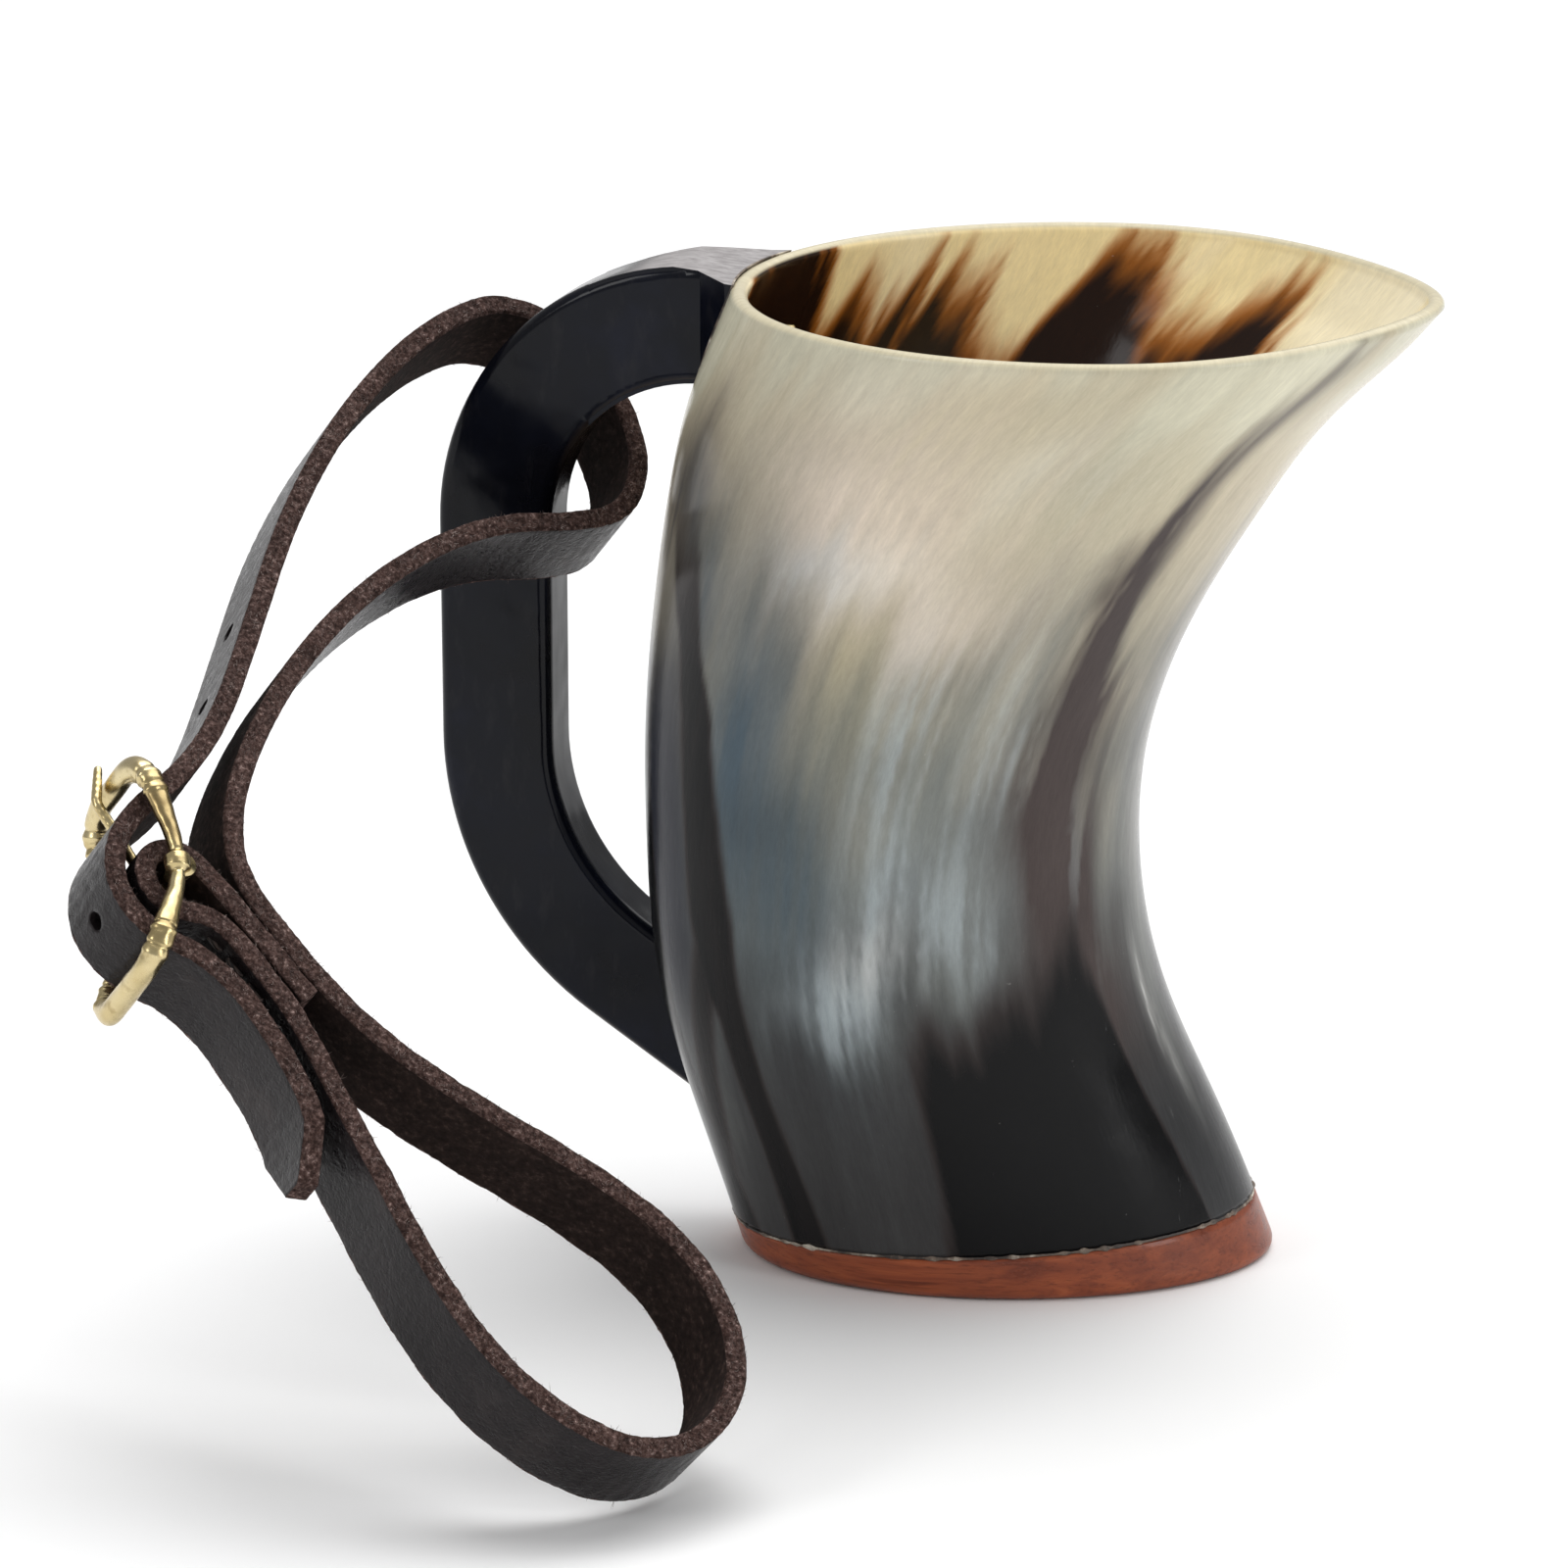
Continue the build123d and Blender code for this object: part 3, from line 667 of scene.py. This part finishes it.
# the plane that the strap bends in: a point of it, its rightward way and the way its cut edge faces
strapPlane = {
    "origin": (-72.4, -0.3, 117.9), "across": (0.774, 0.526, -0.352), "face": (0.590, -0.397, 0.703),
}
strapShape = {
    "width": 14.0, "thickness": 3.0, "step": 0.7, "edgeRounding": 0.55,
    "firstHole": 48.7, "holeSpacing": 14.0, "holeCount": 5, "holeRadius": 1.3,
    # the hole that the tongue is through, and the slot for it in the fold round the bar
    "tongueHole": {"number": 1, "way": (-0.584, 0.812), "radius": 1.7, "length": 9, "stretch": 1.25},
    "foldSlot": {"fromBar": (-4.0, 1.5), "way": (-0.94, 0.34), "radius": 1.7, "length": 4.4, "stretch": 2.6},
    "bar": (-50.6, -97.3), "tipLength": 7.0, "tipShare": 0.30,
    "creaseDepth": 0.05, "pinchDepth": 0.16, "edgeRoughness": 0.20, "edgeWave": 0.09,
    "fibreCount": 9000, "fibreRadius": 0.036, "fibreReach": (0.32, 0.85),
}
strapRoute = [
    # turned-back tab
    (-30.6, -110.6), (-46.0, -95.2),
    # fold round the bar
    (-50.4, -92.7), (-54.3, -94.2), (-55.4, -98.0), (-53.2, -101.6), (-49.0, -102.6),
    (-44.8, -102.0), (-41.4, -104.4), (-32.0, -114.2),
    # belt loop
    (-26.5, -123.8), (-20.3, -133.4), (-12.6, -146.3), (-3.8, -157.3), (6.8, -164.5),
    (18.8, -167.4), (28.6, -163.0), (33.6, -153.0), (31.4, -141.8), (23.7, -132.6),
    (11.0, -126.3), (-5.0, -121.0), (-18.0, -115.6), (-27.8, -109.0),
    # outer sewn layer, then up and round the handle and back down
    (-36.9, -100.0), (-41.6, -94.4), (-43.1, -87.0),
    (-42.2, -78.4), (-39.2, -68.2), (-34.4, -56.8), (-26.0, -43.0), (-15.5, -31.2), (-4.5, -23.2),
    (6.6, -19.6), (14.6, -15.2), (17.0, -6.2), (14.8, 3.0), (8.5, 11.2), (0.6, 16.2), (-7.0, 15.8),
    (-14.4, 9.8), (-22.0, 0.3), (-30.4, -15.0), (-37.2, -33.5), (-41.2, -52.0), (-45.3, -70.0),
    (-50.0, -80.0),
    # over the bar again to the tip
    (-56.2, -87.6), (-59.6, -94.6), (-58.8, -101.8), (-53.6, -107.0), (-46.8, -108.2),
    (-41.2, -111.6), (-36.0, -117.4), (-31.0, -124.6), (-28.6, -130.4), (-27.8, -136.6),
]

faceWay = np.array(strapPlane["face"]) / np.linalg.norm(strapPlane["face"])
acrossWay = np.array(strapPlane["across"]) - np.dot(strapPlane["across"], faceWay) * faceWay
acrossWay = acrossWay / np.linalg.norm(acrossWay)
upWay = np.cross(faceWay, acrossWay)
strapOrigin = np.array(strapPlane["origin"])


def toWorld(across, up, face):
    # millimetres in the strap's plane to metres in the frame
    away = np.outer(across, acrossWay) + np.outer(up, upWay) + np.outer(face, faceWay)
    return (strapOrigin + away) * mm


def pieceInPlane(name, rings, body, loop=False):
    # a tube through rings of points given in the strap's plane
    points = np.concatenate(rings)
    faces = ringFaces(len(rings), len(rings[0]), loop)
    return makeMesh(name, toWorld(points[:, 0], points[:, 1], points[:, 2]), faces, body)


def arcLengths(points):
    return np.concatenate([[0], np.cumsum(np.linalg.norm(np.diff(points, axis=0), axis=1))])


def unitRows(vectors):
    return vectors / np.linalg.norm(vectors, axis=1)[:, None]


def smoothRoute(points, step):
    # evenly spaced places along a curve that touches the middle of every run
    places = np.array(points, float)
    middles = (places[:-1] + places[1:]) / 2
    curve = [places[0]]
    for k in range(1, len(places) - 1):
        for t in np.linspace(0, 1, 24, endpoint=False):
            start = middles[k - 1] if k > 1 else places[0]
            end = middles[k] if k < len(places) - 2 else places[-1]
            curve.append((1 - t) ** 2 * start + 2 * t * (1 - t) * places[k] + t * t * end)
    curve.append(places[-1])
    curve = np.array(curve)
    lengths = arcLengths(curve)
    count = int(lengths[-1] / step)
    at = np.linspace(0, lengths[-1], count + 1)
    even = np.stack([np.interp(at, lengths, curve[:, 0]), np.interp(at, lengths, curve[:, 1])], -1)
    kernel = np.array([1, 4, 6, 4, 1]) / 16
    for _ in range(3):
        soft = even.copy()
        for axis in (0, 1):
            soft[2:-2, axis] = np.convolve(even[:, axis], kernel, "valid")
        even = soft
    return even, at


grainSide, fleshSide, cutEdge = 0, 1, 2              # also the strap's material slots


def crossSection():
    # rounded section of the strip as (across, through, kind of skin)
    half, thick, r = strapShape["width"] / 2, strapShape["thickness"] / 2, strapShape["edgeRounding"]
    corner = [(r * math.sin(math.radians(a)), r * math.cos(math.radians(a))) for a in (30, 60)]
    outline = []
    for way, kind in ((1, grainSide), (-1, fleshSide)):   # the second half is the first turned over
        part = [(w, -thick, kind) for w in np.linspace(half - r, -half + r, 15)]
        part += [(-half + r - across, -thick + r - through, cutEdge) for across, through in corner]
        part += [(-half, t, cutEdge) for t in np.linspace(-thick + r, thick - r, 5)]
        part += [(-half + r - across, thick - r + through, cutEdge) for across, through in reversed(corner)]
        outline += [(way * w, way * t, kind) for w, t, kind in part]
    return np.array(outline)


def buildStrap():
    line, along = smoothRoute(strapRoute, strapShape["step"])
    ways = unitRows(np.gradient(line, axis=0))
    lefts = np.stack([-ways[:, 1], ways[:, 0]], -1)
    bend = np.cross(ways, np.gradient(ways, axis=0)) / strapShape["step"]
    section = crossSection()
    kind = section[:, 2]
    grain, flesh, edge = kind == grainSide, kind == fleshSide, kind == cutEdge
    side = np.sign(section[:, 0])
    rough = np.random.default_rng(21).random((len(line), len(section))) - 0.5
    rings = []
    for k, (place, left, s) in enumerate(zip(line, lefts, along)):
        fromTip = along[-1] - s
        narrow = 1.0
        if fromTip < strapShape["tipLength"]:        # trimmed tip
            narrow = strapShape["tipShare"] + (1 - strapShape["tipShare"]) * fromTip / strapShape["tipLength"]
        wide = section[:, 0] * narrow
        thick = section[:, 1].copy()
        # creases across the grain side, deeper where the strap bends
        crease = 0.5 + 0.5 * np.sin(s * 3.1 + 1.5 * np.sin(wide * 0.5 + s * 0.35) + 0.8 * np.sin(s * 0.9))
        depth = strapShape["creaseDepth"] + strapShape["pinchDepth"] * min(1.0, abs(bend[k]) * 9)
        thick[grain] += depth * crease[grain] ** 3 + 0.02 * rough[k, grain]
        thick[flesh] += 0.07 * rough[k, flesh] - 0.03
        wide = wide + edge * rough[k] * strapShape["edgeRoughness"] * (1 if narrow == 1 else 0.4)
        wide = wide + edge * strapShape["edgeWave"] * np.sin(s * 0.7 + side * 2) * side
        rings.append(np.stack([place[0] + left[0] * thick, place[1] + left[1] * thick, wide], -1))
    piece = pieceInPlane("leatherStrap", rings, "strap")
    sideFaces = len(piece.data.polygons)
    fillHoles(piece)
    # a face between two kinds of skin counts as cut edge, and so do both ends
    nextKind = np.roll(kind, -1)
    skins = np.full(len(piece.data.polygons), cutEdge)
    skins[:sideFaces] = np.tile(np.where(kind == nextKind, kind, cutEdge), len(rings) - 1)
    piece.data.polygons.foreach_set("material_index", skins)
    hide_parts("strap")
    return piece, line, along, lefts, ways


def drill(name, place, way, radius, length, stretch=1.0):
    # cutter for a punched hole, along a direction in the strap's plane
    holder = bmesh.new()
    bmesh.ops.create_cone(holder, cap_ends=True, segments=28, radius1=radius * mm, radius2=radius * mm,
                          depth=length * mm)
    mesh = bpy.data.meshes.new(name)
    holder.to_mesh(mesh)
    holder.free()
    cutter = bpy.data.objects.new(name, mesh)
    bpy.context.scene.collection.objects.link(cutter)
    z = way[0] * acrossWay + way[1] * upWay
    x = faceWay
    y = np.cross(z, x)
    turned = Matrix(np.stack([x, y * stretch, z], 1).tolist()).to_4x4()
    turned.translation = Vector(toWorld([place[0]], [place[1]], [0])[0])
    mesh.transform(turned)
    return cutter


def punchHoles(piece, line, along, lefts):
    cutters = []
    tongueHole, foldSlot = strapShape["tongueHole"], strapShape["foldSlot"]
    for k in range(strapShape["holeCount"]):
        i = int(np.searchsorted(along, along[-1] - strapShape["firstHole"] - k * strapShape["holeSpacing"]))
        if k == tongueHole["number"]:
            cutters.append(drill("cutTongue", line[i], tongueHole["way"], tongueHole["radius"],
                                 tongueHole["length"], tongueHole["stretch"]))
        else:
            cutters.append(drill("cutHole", line[i], lefts[i], strapShape["holeRadius"],
                                 2 * strapShape["thickness"]))
    slotPlace = np.array(strapShape["bar"]) + foldSlot["fromBar"]
    cutters.append(drill("cutFold", slotPlace, foldSlot["way"], foldSlot["radius"], foldSlot["length"],
                         foldSlot["stretch"]))
    for cutter in cutters:
        step = piece.modifiers.new(cutter.name, "BOOLEAN")
        step.operation = "DIFFERENCE"
        step.solver = "EXACT"
        step.object = cutter
    bpy.context.view_layer.update()
    evaluated = piece.evaluated_get(bpy.context.evaluated_depsgraph_get())
    cut = bpy.data.meshes.new_from_object(evaluated)
    piece.modifiers.clear()
    piece.data = cut
    for cutter in cutters:
        bpy.data.objects.remove(cutter)


def leatherMaterials():
    grain, nodes, links, shader = newMaterial("grainLeather")
    place = objectCoordinates(nodes, links)
    cloud = noiseAt(nodes, links, place, 90, 4, 0.6)
    pebble = addNode(nodes, "ShaderNodeTexVoronoi", Scale=1900)
    links.new(place, pebble.inputs["Vector"])
    wrinkle = noiseAt(nodes, links, place, 700, 5, 0.62, 0.8)
    colour = rampOf(nodes, links, cloud, [(0.3, (0.0095, 0.0078, 0.0085)), (0.55, (0.0150, 0.0122, 0.0132)),
                                          (0.75, (0.027, 0.022, 0.022))])
    worn = rampOf(nodes, links, wrinkle, [(0.35, (0.82, 0.80, 0.80)), (0.7, (1.25, 1.2, 1.17))])
    colour = mixColour(nodes, links, 1.0, colour, worn, "MULTIPLY")
    links.new(colour, shader.inputs["Base Color"])
    links.new(remap(nodes, links, wrinkle, 0.3, 0.7, 0.22, 0.38), shader.inputs["Roughness"])
    bumpFrom(nodes, links, shader, (wrinkle, 0.5, 0.00030), (pebble.outputs["Distance"], 0.35, 0.00010))
    setFinish(shader, Specular_IOR_Level=0.15)
    flesh, nodes, links, shader = newMaterial("suedeLeather")
    place = objectCoordinates(nodes, links)
    nap = noiseAt(nodes, links, place, 900, 6, 0.7)
    blotch = noiseAt(nodes, links, place, 130, 4, 0.6)
    colour = rampOf(nodes, links, nap, [(0.32, (0.010, 0.0062, 0.0055)), (0.55, (0.024, 0.0155, 0.013)),
                                        (0.74, (0.070, 0.047, 0.040))])
    shade = rampOf(nodes, links, blotch, [(0.3, (0.75, 0.75, 0.75)), (0.7, (1.25, 1.2, 1.2))])
    colour = mixColour(nodes, links, 1.0, colour, shade, "MULTIPLY")
    links.new(colour, shader.inputs["Base Color"])
    bumpFrom(nodes, links, shader, (nap, 0.8, 0.0004))
    setFinish(shader, Roughness=0.95, Specular_IOR_Level=0.08)
    edge, nodes, links, shader = newMaterial("cutLeatherEdge")
    place = objectCoordinates(nodes, links)
    speck = noiseAt(nodes, links, place, 1500, 5, 0.72)
    strand = noiseAt(nodes, links, place, 380, 5, 0.7, 1.2)
    colour = rampOf(nodes, links, speck, [(0.30, (0.012, 0.007, 0.006)), (0.47, (0.046, 0.028, 0.024)),
                                          (0.60, (0.115, 0.078, 0.070)), (0.72, (0.42, 0.33, 0.30))])
    shade = rampOf(nodes, links, strand, [(0.32, (0.62, 0.60, 0.60)), (0.66, (1.3, 1.22, 1.2))])
    colour = mixColour(nodes, links, 1.0, colour, shade, "MULTIPLY")
    links.new(colour, shader.inputs["Base Color"])
    bumpFrom(nodes, links, shader, (strand, 0.7, 0.0004), (speck, 0.9, 0.0003))
    setFinish(shader, Roughness=0.95, Specular_IOR_Level=0.10)
    return [grain, flesh, edge]


def fibreMaterial():
    material, nodes, links, shader = newMaterial("leatherFibre")
    tint = noiseAt(nodes, links, objectCoordinates(nodes, links), 700, 2)
    colour = rampOf(nodes, links, tint, [(0.35, (0.05, 0.033, 0.03)), (0.5, (0.14, 0.10, 0.09)),
                                         (0.68, (0.42, 0.34, 0.31))])
    links.new(colour, shader.inputs["Base Color"])
    setFinish(shader, Roughness=0.8)
    return material


def buildFibres(line, along, lefts, ways):
    # short loose fibres standing out of the cut edges, each a thin three-sided spike with a bend
    rng = np.random.default_rng(77)
    points, faces = [], []
    half, thick = strapShape["width"] / 2, strapShape["thickness"] / 2
    for k in range(strapShape["fibreCount"]):
        i = rng.integers(4, len(line) - 12)
        side = 1 if rng.random() < 0.62 else -1
        t = rng.uniform(-thick * 0.86, thick * 0.86)
        root = np.array([line[i, 0] + lefts[i, 0] * t, line[i, 1] + lefts[i, 1] * t, side * (half - 0.10)])
        inPlane = ways[i] * rng.normal(0, 0.9) + lefts[i] * rng.normal(0, 0.45)
        way = np.array([*inPlane, side * abs(rng.normal(0.5, 0.35))])
        way = way / np.linalg.norm(way)
        reach = rng.uniform(*strapShape["fibreReach"]) * (1.6 if rng.random() < 0.05 else 1)
        bendWay = rng.normal(0, 0.5, 3)
        middle = root + way * reach * 0.55
        tip = middle + (way + bendWay * 0.6) * reach * 0.5
        tip[2] = side * max(side * tip[2], half - 0.05)
        thin = strapShape["fibreRadius"]
        sideWay = np.cross(way, [0.3, 0.5, 0.8])
        sideWay = sideWay / np.linalg.norm(sideWay)
        other = np.cross(way, sideWay)
        start = len(points)
        for centre, size in ((root, thin), (middle, thin * 0.8)):
            for a in (0, 2.094, 4.189):              # thirds of a turn
                points.append(centre + (sideWay * math.cos(a) + other * math.sin(a)) * size)
        points.append(tip)
        faces += [(start, start + 2, start + 1)]
        for j in range(3):
            n = (j + 1) % 3
            faces += [(start + j, start + n, start + 3 + n), (start + j, start + 3 + n, start + 3 + j),
                      (start + 3 + j, start + 3 + n, start + 6)]
    points = np.array(points)
    placed = toWorld(points[:, 0], points[:, 1], points[:, 2])
    piece = makeMesh("strapFibres", placed, faces, "strap")
    piece.data.materials.append(fibreMaterial())


strap, strapLine, strapAlong, strapLefts, strapWays = buildStrap()
punchHoles(strap, strapLine, strapAlong, strapLefts)
for material in leatherMaterials():
    strap.data.materials.append(material)
buildFibres(strapLine, strapAlong, strapLefts, strapWays)
print("strap made,", len(strap.data.vertices), "points")


def threadMaterial():
    material, nodes, links, shader = newMaterial("waxedThread")
    place = objectCoordinates(nodes, links, (1, 1, 1), (0.6, 0.3, 0.8))
    twist = addNode(nodes, "ShaderNodeTexWave", Scale=900, Distortion=1.5)
    links.new(place, twist.inputs["Vector"])
    plies = twist.outputs["Fac"]
    colour = rampOf(nodes, links, plies, [(0.2, (0.012, 0.008, 0.007)), (0.8, (0.07, 0.048, 0.04))])
    links.new(colour, shader.inputs["Base Color"])
    bumpFrom(nodes, links, shader, (plies, 0.6, 0.0001))
    setFinish(shader, Roughness=0.55)
    return material


dressNode("strap_stitches", threadMaterial())

buckle = {
    "top": (-57.6, -81.5), "bottom": (-53.6, -112.4), "railOffset": 9.6,
    "topCorner": 6.0, "lowCorner": 4.6, "archRadius": 18.0,
    "barRadius": 1.6, "barSteps": 60, "barFlare": (7.6, 9.2), "sides": 32,
    # half width and half thickness of the casting by distance from the bar: knob, neck, then a widening band
    "sectionAt": (0, 0.9, 1.3, 1.6, 2.0, 5, 10, 13, 16),
    "sectionWide": (1.60, 1.55, 1.15, 0.92, 0.98, 1.05, 1.20, 1.60, 1.95),
    "sectionTall": (1.80, 1.75, 1.20, 0.95, 1.02, 1.15, 1.60, 1.75, 1.45),
    "ridges": (-13.4, -10.6, 11.0, 13.0), "ridgeHeight": 0.10, "grooveDepth": 0.11, "railLength": 9,
}
tongueWire = {
    "route": [(-52.0, -95.3), (-56.6, -88.9), (-60.0, -84.6), (-60.1, -78.6)], "bend": 2.5,
    "radius": 0.75, "eyeRadius": 2.4, "sides": 20, "eyeSteps": 96, "tipShare": 0.03,
}


def roundedPath(points, radii, closed, spacing=0.12):
    # runs joined by tangent arcs, as evenly spaced points and each point's share of the length
    places = [np.array(p, float) for p in points]
    count = len(places)
    trail = []
    order = range(count) if closed else range(1, count - 1)
    if not closed:
        trail.append(places[0])
    for k in order:
        before, here, after = places[k - 1], places[k], places[(k + 1) % count]
        inWay = (here - before) / np.linalg.norm(here - before)
        outWay = (after - here) / np.linalg.norm(after - here)
        turn = math.acos(max(-1, min(1, float(np.dot(inWay, outWay)))))
        back = radii[k] * math.tan(turn / 2)
        start = here - inWay * back
        end = here + outWay * back
        w = math.cos(turn / 2)
        for t in np.linspace(0, 1, 24):
            weight = (1 - t) ** 2 + 2 * t * (1 - t) * w + t * t
            trail.append(((1 - t) ** 2 * start + 2 * t * (1 - t) * w * here + t * t * end) / weight)
    trail.append(trail[0] if closed else places[-1])
    trail = np.array(trail)
    lengths = arcLengths(trail)
    at = np.linspace(0, lengths[-1], int(lengths[-1] / spacing) + 1)
    return np.stack([np.interp(at, lengths, trail[:, j]) for j in range(3)], -1), at / lengths[-1]


def ovalRing(centre, angles, first, second, size):
    # points round a centre; first and second are the half axes, size swells them all or one by one
    return centre + np.outer(np.cos(angles) * size, first) + np.outer(np.sin(angles) * size, second)


def buildBuckle():
    r, bar = buckle["railOffset"], strapShape["bar"]
    top, bottom = buckle["top"], buckle["bottom"]
    high, low, arch = buckle["topCorner"], buckle["lowCorner"], buckle["archRadius"]
    loop = [(*top, r), (*bar, r), (*bottom, r), (*bottom, -r), (*bar, -r), (*top, -r)]
    trail = roundedPath(loop, [high, arch, low, low, arch, high], True)[0][:-1]
    ways = unitRows(np.roll(trail, -1, axis=0) - np.roll(trail, 1, axis=0))
    angles = fullCircle(buckle["sides"])
    corners = np.abs(np.cos(angles)) ** 3 + np.abs(np.sin(angles)) ** 3
    rings = []
    for here, way in zip(trail, ways):
        outward = np.array([-1.0, 0.12, 0])          # away from the strap's arched seat
        outward = outward - np.dot(outward, way) * way
        outward = outward / np.linalg.norm(outward)
        sideways = np.cross(way, outward)
        height = here[1] - bar[1]
        wide = float(np.interp(abs(height), buckle["sectionAt"], buckle["sectionWide"]))
        tall = float(np.interp(abs(height), buckle["sectionAt"], buckle["sectionTall"]))
        ridges = 0
        if abs(here[2]) <= r * 0.8 or abs(height) > buckle["railLength"]:
            for place in buckle["ridges"]:
                slant = height - place + 0.6 * here[2] / r
                ridges += buckle["ridgeHeight"] * math.exp(-(slant / 0.30) ** 2)
                ridges -= buckle["grooveDepth"] * math.exp(-((slant - 0.75) / 0.22) ** 2)
        # soft facets and the slight unevenness of a casting
        facet = 1.03 - 0.05 * (1 - corners) + 0.03 * np.cos(3 * angles + here[1] * 0.22)
        cast = 1 + 0.010 * np.sin(here[1] * 1.9 + angles * 2)
        cast = cast + 0.008 * np.sin(here[1] * 3.1 - angles * 3 + here[2])
        size = (1 + ridges) * facet * cast
        rings.append(ovalRing(here, angles, sideways * wide, outward * tall, size))
    castFrame = pieceInPlane("buckleFrame", rings, "buckle", loop=True)
    fillHoles(castFrame)
    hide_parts("buckle_frame")
    rings = []
    for t in np.linspace(-r, r, buckle["barSteps"]):
        radius = buckle["barRadius"] * (1 + 0.10 * smoothStep(*buckle["barFlare"], abs(t)))
        x = bar[0] + np.cos(angles) * radius
        y = bar[1] + np.sin(angles) * radius
        rings.append(np.stack([x, y, np.full(len(angles), t)], -1))
    centreBar = pieceInPlane("buckleBar", rings, "buckle")
    fillHoles(centreBar)
    return castFrame, centreBar


def buildTongue():
    radius, bend = tongueWire["radius"], tongueWire["bend"]
    route = [(x, y, 0) for x, y in tongueWire["route"]]
    trail, share = roundedPath(route, [0, bend, bend, 0], False, 0.15)
    ways = unitRows(np.gradient(trail, axis=0))
    angles = fullCircle(tongueWire["sides"])
    sideways = np.array([0, 0, 1.0])
    rings = []
    for k, (here, way) in enumerate(zip(trail, ways)):
        toTip = 1 - share[k]
        size = radius * (0.78 + 0.22 * min(1, toTip * 4)) * (1 + 0.02 * math.sin(k * 0.9))
        if toTip < tongueWire["tipShare"]:           # rounded tip
            size *= math.sqrt(max(0.02, 1 - (1 - toTip / tongueWire["tipShare"]) ** 2))
        rings.append(ovalRing(here, angles, sideways, np.cross(way, sideways), size))
    wire = pieceInPlane("buckleTongue", rings, "tongue")
    fillHoles(wire)
    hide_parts("buckle_tongue")
    rings = []
    thin = radius * 0.98
    for a in fullCircle(tongueWire["eyeSteps"]):
        way = np.array([math.cos(a), math.sin(a), 0])
        centre = np.array([*strapShape["bar"], 0]) + way * tongueWire["eyeRadius"]
        rings.append(ovalRing(centre, angles, way, sideways, thin))
    eye = pieceInPlane("tongueEye", rings, "tongue", loop=True)
    fillHoles(eye)
    return wire, eye


def brassMaterial():
    material, nodes, links, shader = newMaterial("wornBrass")
    place = objectCoordinates(nodes, links)
    cloud = noiseAt(nodes, links, place, 120, 3, 0.5)
    spots = noiseAt(nodes, links, place, 520, 3, 0.55)
    colour = rampOf(nodes, links, cloud, [(0.28, (0.36, 0.27, 0.13)), (0.48, (0.56, 0.45, 0.23)),
                                          (0.72, (0.72, 0.62, 0.38))])
    stain = rampOf(nodes, links, spots, [(0.30, (0.45, 0.38, 0.28)), (0.44, (1, 1, 1))])
    colour = mixColour(nodes, links, 0.5, colour, stain, "MULTIPLY")
    geometry = nodes.new("ShaderNodeNewGeometry")
    recess = remap(nodes, links, geometry.outputs["Pointiness"], 0.44, 0.50, 0.75, 0.0)
    colour = mixColour(nodes, links, recess, colour, (0.09, 0.06, 0.025))
    links.new(colour, shader.inputs["Base Color"])
    links.new(remap(nodes, links, spots, 0.3, 0.7, 0.36, 0.18), shader.inputs["Roughness"])
    bumpFrom(nodes, links, shader, (cloud, 0.25, 0.0004), (spots, 0.08, 0.00010))
    setFinish(shader, Metallic=1.0)
    return material


brass = brassMaterial()
for piece in (*buildBuckle(), *buildTongue()):
    piece.data.materials.append(brass)
for pin in ("handle_top_pin", "handle_foot_pin"):
    dressNode(pin, brass)
print("buckle made")

studio = {
    "floorSize": 12.0, "floorColours": ((0.90, 0.90, 0.905), (0.93, 0.93, 0.93)),
    "worldColour": (1.0, 1.0, 1.0), "worldStrength": 0.42,
    "sunPower": 2.1, "sunSpread": 70, "sunTilt": (-28, 10),
    # name, place, size, power
    "lamps": (("keyLeft", (-0.85, -0.95, 0.80), (0.35, 0.6), 3.2),
              ("fillRight", (1.0, -0.35, 0.40), (0.25, 0.8), 3.4),
              ("topSoft", (-0.1, 0.25, 1.2), (0.8, 0.5), 3.0)),
    "aimAt": (0, 0, 0.08),
}


def areaLight(name, place, size, power):
    data = bpy.data.lights.new(name, "AREA")
    data.shape = "RECTANGLE"
    data.size, data.size_y = size
    data.energy = power
    lamp = bpy.data.objects.new(name, data)
    lamp.location = place
    aim = Vector(studio["aimAt"]) - Vector(place)
    lamp.rotation_euler = aim.to_track_quat("-Z", "Y").to_euler()
    bpy.context.scene.collection.objects.link(lamp)


def buildFloor():
    mesh = bpy.data.meshes.new("floor")
    far = studio["floorSize"] / 2
    mesh.from_pydata([(-far, -far, 0), (far, -far, 0), (far, far, 0), (-far, far, 0)], [], [(0, 1, 2, 3)])
    floor = bpy.data.objects.new("floor", mesh)
    bpy.context.scene.collection.objects.link(floor)
    material, nodes, links, shader = newMaterial("paleFloor")
    tone = noiseAt(nodes, links, objectCoordinates(nodes, links), 3, 2)
    dim, bright = studio["floorColours"]
    links.new(rampOf(nodes, links, tone, [(0.3, dim), (0.7, bright)]), shader.inputs["Base Color"])
    setFinish(shader, Roughness=0.9, Specular_IOR_Level=0.1)
    mesh.materials.append(material)


buildFloor()
world = bpy.data.worlds.new("studio")
world.use_nodes = True
sky = world.node_tree.nodes["Background"]
sky.inputs["Color"].default_value = (*studio["worldColour"], 1)
sky.inputs["Strength"].default_value = studio["worldStrength"]
bpy.context.scene.world = world
for lamp in studio["lamps"]:
    areaLight(*lamp)
sunData = bpy.data.lights.new("skySoft", "SUN")
sunData.energy = studio["sunPower"]
sunData.angle = math.radians(studio["sunSpread"])
sun = bpy.data.objects.new("skySoft", sunData)
sun.rotation_euler = (math.radians(studio["sunTilt"][0]), math.radians(studio["sunTilt"][1]), 0)
bpy.context.scene.collection.objects.link(sun)
bpy.context.scene.view_settings.view_transform = "Standard"
print("studio made")
